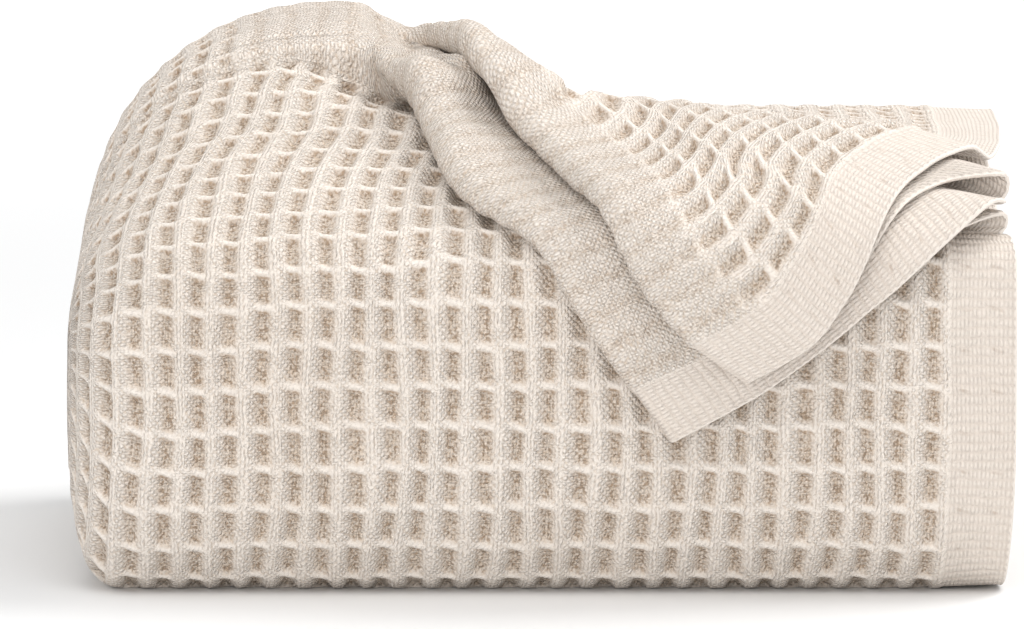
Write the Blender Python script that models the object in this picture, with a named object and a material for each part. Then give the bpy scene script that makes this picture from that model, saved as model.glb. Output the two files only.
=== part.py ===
"""Waffle weave cotton blanket, folded into a bundle.

One thick cloth, laid back and forth in a stack and wrapped by its own outermost layer. That layer
leaves the stack at the bottom, rounds up into the front, and is folded forward over itself twice in
soft diagonal rolls before it runs over the top and down the back to its hem. The plain edge band is
the right-hand end of every layer.

The sizes below are in millimetres and become metres when the mesh is made. x runs to the right,
y goes back from the front of the bundle, z is up.

The front and the top of the bundle are one curved bed. A point on the outermost layer is given by
its x, by how far up that bed it lies (`up`, along the left-hand section, from the foot of the
front), and by its lift above the bed.
"""

import math
from typing import NamedTuple

import bpy
import numpy as np

MM = 0.001

# the cloth, and the distance between two layers' middle surfaces
THICKNESS = 5.0
PITCH = 6.4
RESTING = THICKNESS / 2

# the bundle
DEPTH = 285.0
LEFT_END = -194.0
SOLE_BACK = 268.0
FRONT_ROUND_DEPTH = 32.0
FRONT_ROUND_HEIGHT = 58.0
FOOT_UP = -5.0
CENTRE = (-2.2, 125.8)

# the bed changes from its right-hand section to its left-hand one between these two places
RIGHT_SECTION_FROM = 20.0
LEFT_SECTION_FROM = -110.0

# the closed left end draws in to a level line inside the bundle
CORE_HEIGHT = 95.0
CORE_FRONT = 60.0
CORE_BACK = 225.0
END_SQUARENESS = 2.3
LOW_SQUARENESS = 3.4
END_MOUTH = math.radians(86.0)
END_STATIONS = 6

# the inner stack: its layers, and how far they keep from the sole, the top and the front round.
# The left ends of the layers are given by their share of the stack's height.
INNER_LAYERS = 16
INNER_LEFT_ENDS = ((0, 0.15, 0.6, 0.85, 1), (-160, -166, -160, -152, -140))
LAYERS_DRAW_IN_FROM = -147.0
TOP_DRAWS_IN_FROM = -93.0
FRONT_ROUND_AT = 14.0
BACK_ROUND_AT = 262.0
TOP_SETBACK = 34.0
SETBACK_POWER = 5
INNER_STATIONS = 9
INNER_RIGHT_END = 187.0
INNER_SPAN_POINTS = 3
UNEVEN = 1.6
LOWEST_PITCH = 8.6
TOP_PITCH = 8.2
CLEAR_ABOVE = -8.0
LOWEST_LEVEL = 10.2
CLEARANCE = PITCH + 0.8
CLEARANCE_REACH = 90.0
CLEARANCE_STEP = 0.5
SLACK = (-5.0, 0.0, 8.0)
TURN_UNEVEN = (-1.0, 0.6)

# the bed's top lies between these two places up it
TOP_UP = (125.0, 480.0)

# the folded layer: the degrees of its turns, and the distance between its plies, which is kept to
# as far along as the folds stay shut
STATIONS = 20
TURN_STEPS = (-90.0, -45.0, 0.0, 45.0, 90.0)
OPENED_TURN = 3.0
LIP_SLANT = 20.0
PLY_PITCH = 7.6
FOLDED_UNTIL = 236.0
OPEN_FROM = 254.0
PAST_CROWN = (-40.0, 45.0)
LEAST_CHORD = 0.2
RAISING_PASSES = 3

# how the finished bundle settles: distances, then the middle and reach, or the heights, of each
CROWN_PUSH = 8.0
CROWN_ACROSS = (-85.0, 110.0)
CROWN_HEIGHTS = (150.0, 205.0)
ROLL_SINK = 7.0
ROLLS_ACROSS = (-42.0, 50.0)
ROLL_HEIGHTS = (180.0, 235.0)

# the map of heights that the plies are stacked on: its size, cell and samples in each quad
CELL = 2.5
MAP_SHAPE = (160, 240)
MAP_START = (-200.0, -20.0)
QUAD_SAMPLES = 7


class BedPoint(NamedTuple):
    """One point of the bed's section: (y, z) at the right and at the left."""
    name: str
    right: tuple
    left: tuple


BED = (
    BedPoint("face", (0, 60.5), (0, 60.5)),
    BedPoint("chest", (0, 92), (0, 92)),
    BedPoint("brow", (0, 120), (0.5, 122)),
    BedPoint("bend", (5, 139), (8, 139)),
    BedPoint("slope_low", (24, 151), (35, 157)),
    BedPoint("slope_mid", (75, 166), (85, 179)),
    BedPoint("slope_high", (138, 172.5), (138, 207.5)),
    BedPoint("peak", (180, 174), (178, 218.5)),
    BedPoint("rear", (238, 174), (236, 205)),
    BedPoint("shoulder", (274, 157), (273, 165)),
    BedPoint("back", (DEPTH, 122), (DEPTH, 124)),
    BedPoint("back_low", (DEPTH, 60), (DEPTH, 60)),
    BedPoint("hem", (DEPTH, 8), (DEPTH, 8)),
)

# distances from the edge band's selvage at which the fold lines below are given
LIP_AT = 272.0
ALONG = (0.0, 80.0, 155.0, 225.0, LIP_AT, 300.0)


class FoldLine(NamedTuple):
    """A line that runs along the cloth, from the selvage to the crown at the left.

    Each column is (x, up, lift). A line with a turn is the outermost line of a fold, and turn holds
    the fold's radius at each column; a radius of 0 is where the fold has opened out. steps is the
    number of rows between this line and the next.
    """
    name: str
    edge: tuple
    near: tuple
    middle: tuple
    far: tuple
    lip: tuple
    crown: tuple
    turn: tuple = ()
    steps: int = 1


def level_line(name, up, edge_x, crown_x, steps=1):
    """A fold line that runs straight along the bundle, on the bed itself."""
    places = [edge_x - along for along in ALONG[:-1]] + [crown_x]
    return FoldLine(name, *[(x, up, 0.0) for x in places], steps=steps)


FOLD_LINES = (
    level_line("sole_back", -241, 188, -172),
    level_line("sole_rear", -226, 188, -172),
    level_line("sole_front", -22, 188, -172),
    level_line("foot", -6, 188.5, -171),
    level_line("instep", 12, 189.5, -168),
    level_line("shin", 38, 191, -160, 2),
    level_line("face", 67, 192, -150),
    level_line("chest", 99, 192, -147),
    level_line("brow", 128, 192, -142),
    FoldLine("bend", (192, 146, 0), (112, 147, 0), (37, 148, 0), (-33, 148, 0),
             (-70, 148, 0), (-130, 148, 0)),
    FoldLine("slope_low", (191.5, 157, 0), (110, 165, 0), (36, 180, 0), (-35, 188, 0),
             (-73, 190, 0), (-117, 190, 0)),
    FoldLine("slope_high", (190.5, 160, 0), (104, 182, 0), (30, 212, 0), (-37, 236, 0),
             (-82, 241, 0), (-107, 240, 0)),
    FoldLine("hollow_1", (188, 166, 0), (98, 196, 0), (20, 240, 0), (-38, 276, 0),
             (-80, 281, 0), (-100, 276, 0)),
    FoldLine("inner_fold_1", (184, 174, 3.6), (91, 206, 3.6), (12, 254, 3.6), (-40, 291, 3.6),
             (-80, 295, 6.5), (-97, 286, 0.5), turn=(3.6, 3.6, 3.6, 3.6, 6.5, 0)),
    FoldLine("under_1", (168, 157, 7.2), (80, 190, 7.2), (2, 238, 7.2), (-41, 279, 7.2),
             (-80, 295.3, 6), (-96, 292, 1.5), steps=3),
    FoldLine("under_2", (138, 133, 7.2), (60, 169, 7.2), (-12, 218, 7.2), (-43, 269, 7.2),
             (-80, 296, 8), (-96, 294, 2.5), steps=3),
    FoldLine("under_3", (98, 100, 7.2), (32, 153, 7.2), (-25, 202, 7.2), (-47, 259, 7.2),
             (-80, 296.6, 8.8), (-95, 296, 3.5)),
    FoldLine("roll_1", (52, 73, 11), (6, 141, 11.5), (-36, 190, 13), (-57, 249, 14),
             (-80, 296.6, 7), (-95, 301, 4.5), turn=(4, 4.5, 6, 7, 7, 0)),
    FoldLine("valley", (90, 94, 14), (36, 150, 14), (2, 212, 14), (-31, 262, 14),
             (-78, 310, 13.5), (-94, 307, 5.5), steps=3),
    FoldLine("strip", (128, 125, 14), (62, 174, 14), (10, 234, 14), (-27, 277, 14),
             (-75, 314, 13), (-93, 312, 5.5), steps=3),
    FoldLine("rim", (178, 163, 14), (94, 210, 14), (16, 258, 14), (-23, 294, 14),
             (-70, 319, 12), (-92, 318, 5)),
    FoldLine("dip", (188, 176, 8), (97, 220, 7), (19, 268, 6), (-18, 308, 6),
             (-65, 325, 8.5), (-91, 325, 4.5)),
    FoldLine("inner_fold_2", (183, 190, 15), (97, 230, 15), (20, 278, 15), (-14, 321, 15),
             (-60, 336, 14), (-90, 333, 5), turn=(3.6, 3.6, 3.6, 3.6, 5.5, 0)),
    FoldLine("under_4", (166, 180, 21), (84, 212, 21), (14, 262, 21), (-16, 307, 21),
             (-60, 336.9, 14), (-89.5, 340, 6), steps=3),
    FoldLine("under_5", (138, 151, 21), (66, 184, 21), (12, 238, 21), (-20, 292, 21),
             (-60, 338, 16.5), (-89.5, 344, 6.5), steps=3),
    FoldLine("under_6", (110, 120, 21), (48, 161, 21), (10, 214, 21), (-25, 278, 21),
             (-60, 339.2, 19.5), (-89, 348, 7)),
    FoldLine("roll_2", (82, 99, 25.5), (31, 147, 26), (-1, 204, 27), (-30, 264, 26.5),
             (-61, 339, 18.5), (-89, 354, 7.5), turn=(4.4, 5, 6, 7, 10, 0)),
    FoldLine("flap_low", (108, 116, 28), (56, 160, 28), (24, 214, 28), (-8, 270, 28),
             (-60, 357, 24), (-88, 361, 7), steps=3),
    FoldLine("flap_mid", (136, 150, 28), (80, 186, 28), (44, 238, 27), (6, 284, 23),
             (-60, 361, 20), (-87, 367, 6), steps=3),
    FoldLine("flap_high", (158, 184, 28), (104, 222, 26), (56, 266, 22), (14, 306, 16),
             (-62, 368, 14), (-87, 374, 5), steps=3),
    FoldLine("top_front", (178, 214, 20), (114, 256, 18), (56, 300, 14), (0, 334, 10),
             (-64, 375, 8), (-87, 380, 3), steps=2),
    FoldLine("top", (185, 262, 8), (108, 290, 9), (44, 326, 8), (-24, 352, 6),
             (-67, 382, 4), (-88, 386, 2), steps=2),
    FoldLine("top_back", (187, 335, 2), (108, 345, 3), (38, 362, 3), (-30, 380, 2),
             (-70, 390, 2), (-90, 393, 1)),
    level_line("rear", 402, 188, -96),
    level_line("shoulder", 447, 188, -112, 2),
    level_line("back", 487, 188, -140),
    level_line("back_low", 547, 188, -152),
    level_line("hem", 600, 188, -158),
)


def through(knots, values, places):
    """Smooth curve through the values at the knots, read at the places.

    Cubic pieces whose slope at a knot is the mean of its two chords, weighted by their lengths.
    """
    knots = np.asarray(knots, float)
    values = np.asarray(values, float)
    span = np.diff(knots)[:, None]
    chord = np.diff(values, axis=0) / span
    slope = np.empty_like(values)
    slope[0] = chord[0]
    slope[-1] = chord[-1]
    slope[1:-1] = (chord[:-1] * span[1:] + chord[1:] * span[:-1]) / (span[1:] + span[:-1])
    piece = np.clip(np.searchsorted(knots, places, side="right") - 1, 0, len(knots) - 2)
    width = span[piece]
    part = ((places - knots[piece]) / width[:, 0])[:, None]
    start = values[piece] * (1 + 2 * part) * (1 - part) ** 2
    start += slope[piece] * width * part * (1 - part) ** 2
    end = values[piece + 1] * part ** 2 * (3 - 2 * part)
    end += slope[piece + 1] * width * part ** 2 * (part - 1)
    return start + end


def bed_side(which, sole_points=40, round_points=30, upper_points=300):
    """Closely spaced (y, z) points of one section of the bed, from the back of the sole to the hem."""
    sole = np.stack([np.linspace(SOLE_BACK, FRONT_ROUND_DEPTH, sole_points),
                     np.full(sole_points, RESTING)], 1)[:-1]
    turn = np.linspace(0, math.pi / 2, round_points)[:-1]
    front_round = np.stack([FRONT_ROUND_DEPTH * (1 - np.sin(turn)),
                            RESTING + FRONT_ROUND_HEIGHT * (1 - np.cos(turn))], 1)
    upper = np.array([getattr(point, which) for point in BED], float)
    left = np.array([point.left for point in BED], float)
    root_chords = np.sqrt(np.linalg.norm(np.diff(left, axis=0), axis=1))
    knots = np.concatenate([[0.0], np.cumsum(root_chords)])
    below = upper[0] - (0.0, FRONT_ROUND_HEIGHT / 2)
    places = np.linspace(0, knots[-1], upper_points)
    risen = through(np.concatenate([[-root_chords[0]], knots]), np.vstack([below, upper]), places)
    return np.vstack([sole, front_round, risen]), sole_points - 1


BED_RIGHT, FOOT_POINT = bed_side("right")
BED_LEFT, _ = bed_side("left")
BED_UP = np.concatenate([[0.0], np.cumsum(np.linalg.norm(np.diff(BED_LEFT, axis=0), axis=1))])
BED_UP += FOOT_UP - BED_UP[FOOT_POINT]


def left_share(x):
    """How much of the left-hand section the bed has at x, from 0 to 1."""
    share = np.clip((RIGHT_SECTION_FROM - x) / (RIGHT_SECTION_FROM - LEFT_SECTION_FROM), 0, 1)
    return share * share * (3 - 2 * share)


def bed_point(x, up):
    """(y, z) of the bed at x, up along it."""
    share = left_share(x)[..., None]
    right = np.stack([np.interp(up, BED_UP, BED_RIGHT[:, axis]) for axis in (0, 1)], -1)
    left = np.stack([np.interp(up, BED_UP, BED_LEFT[:, axis]) for axis in (0, 1)], -1)
    return right * (1 - share) + left * share


def lifted(places, reach=1.5):
    """(x, y, z) of places given as (x, up, lift): the bed's point, moved out along its normal."""
    x, up, lift = places[..., 0], places[..., 1], places[..., 2]
    along = bed_point(x, up + reach) - bed_point(x, up - reach)
    along /= np.linalg.norm(along, axis=-1, keepdims=True)
    point = bed_point(x, up)
    return np.stack([x, point[..., 0] - along[..., 1] * lift, point[..., 1] + along[..., 0] * lift],
                    -1)


def turned(line, before, after):
    """The rows of a fold: half a circle whose outermost line is the fold line.

    line, before and after hold (x, up, lift) by column. At the lip the fold stands open, and only
    the quarter of its circle nearer the upright cloth is left. Where the radius is 0 its rows lie
    side by side up the bed.
    """
    points = np.array([line.edge, line.near, line.middle, line.far, line.lip, line.crown], float)
    radius = np.array(line.turn, float)[:, None]
    goes_back = line.name.startswith("inner")
    outward = points - (before + after) / 2
    outward[:, 2] = 0
    outward[ALONG.index(LIP_AT)] = (0, 1 if goes_back else -1, 0)
    outward /= np.linalg.norm(outward, axis=1, keepdims=True)
    start = np.full((len(ALONG), 1), -90.0)
    end = np.full((len(ALONG), 1), 90.0)
    (end if goes_back else start)[ALONG.index(LIP_AT)] = -LIP_SLANT if goes_back else LIP_SLANT
    rows = []
    for degrees in TURN_STEPS:
        angle = np.radians(start + (end - start) * (degrees + 90) / 180)
        offset = outward * radius * (np.cos(angle) - 1) + np.array(
            [0, 0, 1.0]) * radius * np.sin(angle)
        offset[radius[:, 0] == 0] = (0, OPENED_TURN * degrees / 90.0, 0)
        rows.append(points + offset)
    return rows


def folded_rows():
    """The rows of the outermost layer at the columns, the steps after each, and its plies."""
    columns = [np.array([line.edge, line.near, line.middle, line.far, line.lip, line.crown], float)
               for line in FOLD_LINES]
    rows = []
    steps = []
    plies = [0]
    for index, line in enumerate(FOLD_LINES):
        if line.turn:
            made = turned(line, columns[index - 1], columns[index + 1])
        else:
            made = [columns[index]]
        rows += made
        steps += [1] * (len(made) - 1) + [line.steps]
        if line.turn:
            first = sum(steps[:-len(made)])
            plies += [first, first + len(made) - 1]
    return np.array(rows), steps, plies + [sum(steps[:-1])]


def samples(grid):
    """Places between the points of a grid, as (row, station, place, value)."""
    part = np.linspace(0, 1, QUAD_SAMPLES)
    down, across = [share.ravel() for share in np.meshgrid(part, part, indexing="ij")]
    weights = np.stack([(1 - down) * (1 - across), (1 - down) * across,
                        down * (1 - across), down * across], 1)
    corners = np.stack([grid[:-1, :-1], grid[:-1, 1:], grid[1:, :-1], grid[1:, 1:]], 2)
    return np.einsum("pc,rscv->rspv", weights, corners)


def spread(field):
    """Each cell's largest neighbour."""
    wide = np.pad(field, 1, mode="edge")
    return np.max([wide[i:i + field.shape[0], j:j + field.shape[1]]
                   for i in range(3) for j in range(3)], axis=0)


def stacked(body, plies):
    """The folded layer with each ply lifted clear of the plies under it.

    plies holds the first and last row of each ply; the rows between two plies are their turn.
    """
    body = body.copy()
    lying = body[..., 2].copy()
    along = np.linspace(0, ALONG[-1], body.shape[1])
    fade = np.clip((OPEN_FROM - along) / (OPEN_FROM - FOLDED_UNTIL), 0, 1)
    cells = np.full(MAP_SHAPE, -math.inf)

    def cell(places):
        return tuple(np.clip((places[..., axis] - MAP_START[axis]) / CELL, 0,
                             MAP_SHAPE[axis] - 1).astype(int) for axis in (0, 1))

    spans = list(zip(plies[::2], plies[1::2]))
    for order, (first, last) in enumerate(spans):
        ply = body[first:last + 1]
        if order:
            below = spread(cells)
            for _ in range(RAISING_PASSES):
                places = samples(ply)
                short = (below[cell(places)] + PLY_PITCH - places[..., 2]).max(axis=2)
                short = np.pad(np.maximum(short, 0), 1)
                raised = np.max([short[:-1, :-1], short[1:, :-1], short[:-1, 1:], short[1:, 1:]],
                                axis=0)
                ply[..., 2] += raised * fade
            start = spans[order - 1][1]
            moved = body[..., 2] - lying
            for row, degrees in zip(range(start + 1, first), TURN_STEPS[1:-1]):
                share = (1 + math.sin(math.radians(degrees))) / 2
                body[row, :, 2] += moved[start] + (moved[first] - moved[start]) * share
        places = samples(ply)
        np.maximum.at(cells, cell(places), places[..., 2])
    return body


def outer_layer():
    """Points of the outermost layer's middle surface, rows by stations."""
    rows, steps, plies = folded_rows()
    past = rows[:, -1:] + np.array([PAST_CROWN[0], 0, 0])
    knots = ALONG + (ALONG[-1] + PAST_CROWN[1],)
    places = np.linspace(0, ALONG[-1], STATIONS)
    full = np.concatenate([rows, past], axis=1)
    drawn = through(knots, np.moveaxis(full, 1, 0).reshape(len(knots), -1), places)
    drawn = np.moveaxis(drawn.reshape(STATIONS, len(rows), 3), 0, 1)

    by_station = []
    for station in range(STATIONS):
        line = drawn[:, station]
        chords = np.linalg.norm(np.diff(line, axis=0), axis=1)
        chords = np.sqrt(np.maximum(chords, LEAST_CHORD))
        own = np.concatenate([[0.0], np.cumsum(chords)])
        at = [own[row] + (own[row + 1] - own[row]) * step / steps[row]
              for row in range(len(rows) - 1) for step in range(steps[row])] + [own[-1]]
        by_station.append(through(own, line, np.array(at)))
    body = lifted(stacked(np.array(by_station).transpose(1, 0, 2), plies))

    crown = body[:, -1]
    core = np.stack([np.clip(crown[:, 1], CORE_FRONT, CORE_BACK),
                     np.full(len(crown), CORE_HEIGHT)], 1)
    height = np.clip(crown[:, 2] / CORE_HEIGHT, 0, 1)
    power = 2 / (LOW_SQUARENESS + (END_SQUARENESS - LOW_SQUARENESS) * height)
    closing = []
    for angle in np.linspace(0, END_MOUTH, END_STATIONS + 1)[1:]:
        shrink = math.cos(angle) ** power
        reach = math.sin(angle) ** power
        x = crown[:, 0] + (LEFT_END - crown[:, 0]) * reach
        across = core + (crown[:, 1:] - core) * shrink[:, None]
        closing.append(np.column_stack([x, across]))
    return np.concatenate([body, np.array(closing).transpose(1, 0, 2)], axis=1)


def bed_height(x, y):
    """Height of the bed above the depth y, at x."""
    top = (BED_UP > TOP_UP[0]) & (BED_UP < TOP_UP[1])
    right = np.interp(y, BED_RIGHT[top, 0], BED_RIGHT[top, 1])
    left = np.interp(y, BED_LEFT[top, 0], BED_LEFT[top, 1])
    share = left_share(x)
    return right * (1 - share) + left * share


def clear_depth(x, z, side):
    """The y nearest to the front (side 1) or back (side -1) that keeps clear of the bed at z."""
    share = left_share(x)
    inward = np.arange(0, CLEARANCE_REACH + CLEARANCE_STEP, CLEARANCE_STEP)
    tried = inward if side == 1 else DEPTH - inward
    depths = []
    for index in range(len(x)):
        bed = (BED_RIGHT * (1 - share[index]) + BED_LEFT * share[index])[BED_UP > CLEAR_ABOVE]
        distance = np.full(len(tried), math.inf)
        for level in np.maximum(z[index] - PITCH * np.array([0, 0.5, 1]), LOWEST_LEVEL):
            away = np.hypot(tried[:, None] - bed[:, 0], level - bed[:, 1]).min(axis=1)
            distance = np.minimum(distance, away)
        blocked = inward[(distance < CLEARANCE) & (inward < CLEARANCE_REACH)].max()
        depths.append(tried[0] + side * (blocked + CLEARANCE_STEP))
    return np.array(depths)


def drawn_in(x, start):
    """How far the closed left end has drawn in at x, where it starts at start: 1 is not at all."""
    reach = np.clip((start - x) / (start - LEFT_END), 0, 1)
    return (1 - reach ** END_SQUARENESS) ** (1 / END_SQUARENESS)


def layer_height(share, x, y):
    """Height of the inner layer at a share of the stack's height: 0 is the lowest, 1 the highest."""
    lowest = RESTING + LOWEST_PITCH
    highest = np.min([bed_height(x, y + shift) for shift in SLACK], axis=0) - TOP_PITCH
    highest = CORE_HEIGHT + (highest - CORE_HEIGHT) * drawn_in(x, TOP_DRAWS_IN_FROM)
    return lowest + (highest - lowest) * share


def inner_ends(share, x):
    """Where the inner layer at a share of the stack's height starts, at the front and the back."""
    corner = drawn_in(x, LAYERS_DRAW_IN_FROM)
    height_at_front = layer_height(share, x, np.full(INNER_STATIONS, FRONT_ROUND_AT))
    height_at_back = layer_height(share, x, np.full(INNER_STATIONS, BACK_ROUND_AT))
    front = CORE_FRONT + (clear_depth(x, height_at_front, 1) - CORE_FRONT) * corner
    back = clear_depth(x, height_at_back, -1) - TOP_SETBACK * share ** SETBACK_POWER
    return front, CORE_BACK + (back - CORE_BACK) * corner


def inner_stack():
    """Points of the inner layers' middle surface, rows by stations, from the top layer down."""
    rng = np.random.default_rng(11)
    radius = PITCH / 2
    rows = []
    for index in range(INNER_LAYERS - 1, -1, -1):
        share = index / (INNER_LAYERS - 1)
        right_end = INNER_RIGHT_END - rng.uniform(0, UNEVEN * 2)
        x = np.linspace(right_end, np.interp(share, *INNER_LEFT_ENDS), INNER_STATIONS)
        front, back = inner_ends(share, x)
        forward = index % 2 == 1
        start, end = (back - radius, front + radius) if forward else (front + radius, back - radius)
        sway = rng.uniform(-1, 1) * UNEVEN / 4
        for part in np.linspace(0, 1, INNER_SPAN_POINTS + 2):
            y = start + (end - start) * part
            z = layer_height(share, x, y) + sway * math.sin(math.pi * part)
            rows.append(np.column_stack([x, y, z]))
        if index > 0:
            y = end + (radius if end[0] > start[0] else -radius) + rng.uniform(*TURN_UNEVEN)
            below = layer_height((index - 1) / (INNER_LAYERS - 1), x, end)
            z = (layer_height(share, x, end) + below) / 2
            rows.append(np.column_stack([x, y, z]))
    return np.array(rows)


def bridge(first, second):
    """Triangles between two rows of point numbers that may differ in length."""
    faces = []
    a = b = 0
    while a < len(first) - 1 or b < len(second) - 1:
        next_a = (a + 1) / (len(first) - 1)
        next_b = (b + 1) / (len(second) - 1)
        if next_a <= next_b:
            faces.append((first[a], first[a + 1], second[b]))
            a += 1
        else:
            faces.append((first[a], second[b + 1], second[b]))
            b += 1
    return faces


def numbered(rows, first):
    """The point numbers of each row, counted from first, and the points in one list."""
    numbers = []
    points = []
    for row in rows:
        start = first + len(points)
        numbers.append(list(range(start, start + len(row))))
        points += list(row)
    return numbers, points


def grid_faces(rows):
    """Quads between successive rows of point numbers of the same length."""
    return [(first[i], first[i + 1], second[i + 1], second[i])
            for first, second in zip(rows, rows[1:]) for i in range(len(first) - 1)]


def bump(place, middle, reach):
    """A smooth bump: 1 in the middle, 0 from its reach on."""
    return np.clip(1 - ((place - middle) / reach) ** 2, 0, 1) ** 2


def rise(place, low, high):
    """A smooth step from 0 at low to 1 at high."""
    share = np.clip((place - low) / (high - low), 0, 1)
    return share * share * (3 - 2 * share)


def settled(points):
    """The whole bundle with its crown pushed to the right and the tops of its rolls sunk."""
    points = points.copy()
    x, z = points[:, 0].copy(), points[:, 2].copy()
    points[:, 0] += CROWN_PUSH * bump(x, *CROWN_ACROSS) * rise(z, *CROWN_HEIGHTS)
    points[:, 2] -= ROLL_SINK * bump(x, *ROLLS_ACROSS) * rise(z, *ROLL_HEIGHTS)
    return points


def blanket_sheet():
    """The middle surface of the whole cloth: points in metres, and faces."""
    inner = inner_stack()
    outer = outer_layer()
    last = inner[-1]
    turn_back = last.copy()
    turn_back[:, 1] += LOWEST_PITCH / 2
    turn_back[:, 2] = (last[:, 2] + RESTING) / 2
    stack_rows, stack_points = numbered(list(inner) + [turn_back], 0)
    outer_rows, outer_points = numbered(list(outer), len(stack_points))
    faces = grid_faces(stack_rows) + bridge(stack_rows[-1], outer_rows[0][:STATIONS])
    faces += grid_faces(outer_rows)
    points = settled(np.array(stack_points + outer_points))
    points[:, :2] -= CENTRE
    return points * MM, faces


def cotton():
    """Natural off-white cotton."""
    material = bpy.data.materials.new("cotton")
    material.use_nodes = True
    shader = material.node_tree.nodes["Principled BSDF"]
    shader.inputs["Base Color"].default_value = (0.78, 0.72, 0.63, 1)
    shader.inputs["Roughness"].default_value = 0.9
    shader.inputs["Metallic"].default_value = 0.0
    return material


def build():
    """Make the blanket as one object."""
    points, faces = blanket_sheet()
    mesh = bpy.data.meshes.new("blanket")
    mesh.from_pydata(points.tolist(), [], faces)
    mesh.update()
    mesh.shade_smooth()
    blanket = bpy.data.objects.new("blanket", mesh)
    bpy.context.scene.collection.objects.link(blanket)
    mesh.materials.append(cotton())
    solid = blanket.modifiers.new("thickness", "SOLIDIFY")
    solid.thickness = THICKNESS * MM
    solid.offset = 0.0
    solid.use_even_offset = False
    solid.use_rim = True
    return blanket


for old in list(bpy.data.objects):
    bpy.data.objects.remove(old, do_unlink=True)
build()
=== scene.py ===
"""Looks of the waffle weave cotton blanket, folded into a bundle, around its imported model.

The cloth is worked out in millimetres in the bundle's own axes: x runs to the right, y goes back
from the front of the bundle and z is up. A point of the outermost layer is given by its x, by how
far up the bundle's curved bed it lies (`up`) and by its lift above that bed. On the cloth itself,
u is the distance from the selvage and v the distance along it. Meshes are in metres.
"""
from __future__ import annotations

import logging
import math
import sys
from dataclasses import dataclass, field
from enum import Enum
from typing import NamedTuple, Sequence

import bpy
import numpy as np
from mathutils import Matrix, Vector


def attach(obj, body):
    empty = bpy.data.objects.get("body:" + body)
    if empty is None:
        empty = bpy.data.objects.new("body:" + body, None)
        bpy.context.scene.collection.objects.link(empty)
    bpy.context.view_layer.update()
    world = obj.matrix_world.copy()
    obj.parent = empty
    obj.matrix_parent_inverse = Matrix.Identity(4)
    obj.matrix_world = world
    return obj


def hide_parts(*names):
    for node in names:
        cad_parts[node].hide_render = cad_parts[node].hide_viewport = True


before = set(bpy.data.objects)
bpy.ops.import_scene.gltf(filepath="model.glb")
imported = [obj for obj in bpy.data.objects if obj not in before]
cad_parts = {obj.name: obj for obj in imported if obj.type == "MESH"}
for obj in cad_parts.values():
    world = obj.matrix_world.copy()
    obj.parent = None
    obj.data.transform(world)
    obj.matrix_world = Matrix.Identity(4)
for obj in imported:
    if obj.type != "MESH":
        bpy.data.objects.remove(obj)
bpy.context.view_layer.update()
LOG = logging.getLogger("blanket")
MM = 0.001
# The middle of the bundle's box in its own axes, which is the model's origin.
CENTRE = (-2.2, 125.8)

Span = tuple[float, float]
Place = tuple[float, float, float]


class BedPoint(NamedTuple):
    """One point of the bed's section: (y, z) at the right and at the left."""
    name: str
    right: Span
    left: Span


BED = (
    BedPoint("face", (0, 60.5), (0, 60.5)),
    BedPoint("chest", (0, 92), (0, 92)),
    BedPoint("brow", (0, 120), (0.5, 122)),
    BedPoint("bend", (5, 139), (8, 139)),
    BedPoint("slope_low", (24, 151), (35, 157)),
    BedPoint("slope_mid", (75, 166), (85, 179)),
    BedPoint("slope_high", (138, 172.5), (138, 207.5)),
    BedPoint("peak", (180, 174), (178, 218.5)),
    BedPoint("rear", (238, 174), (236, 205)),
    BedPoint("shoulder", (274, 157), (273, 165)),
    BedPoint("back", (285, 122), (285, 124)),
    BedPoint("back_low", (285, 60), (285, 60)),
    BedPoint("hem", (285, 8), (285, 8)),
)

LIP_AT = 272.0
ALONG = (0.0, 80.0, 155.0, 225.0, LIP_AT, 300.0)


class FoldLine(NamedTuple):
    """A line along the cloth from the selvage to the crown, as (x, up, lift) at the places ALONG.

    A line with a turn is the outermost line of a fold, and turn holds the fold's radius at each
    place; 0 is where the fold has opened out. steps is the number of rows to the next line.
    """
    name: str
    edge: Place
    near: Place
    middle: Place
    far: Place
    lip: Place
    crown: Place
    turn: tuple[float, ...] = ()
    steps: int = 1

    def points(self) -> np.ndarray:
        """The line's six places as an array."""
        return np.array([self.edge, self.near, self.middle, self.far, self.lip, self.crown], float)


def level_line(name: str, up: float, edge_x: float, crown_x: float, steps: int = 1) -> FoldLine:
    """A fold line that runs straight along the bundle, on the bed itself."""
    places = [edge_x - along for along in ALONG[:-1]] + [crown_x]
    return FoldLine(name, *[(x, up, 0.0) for x in places], steps=steps)


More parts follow.
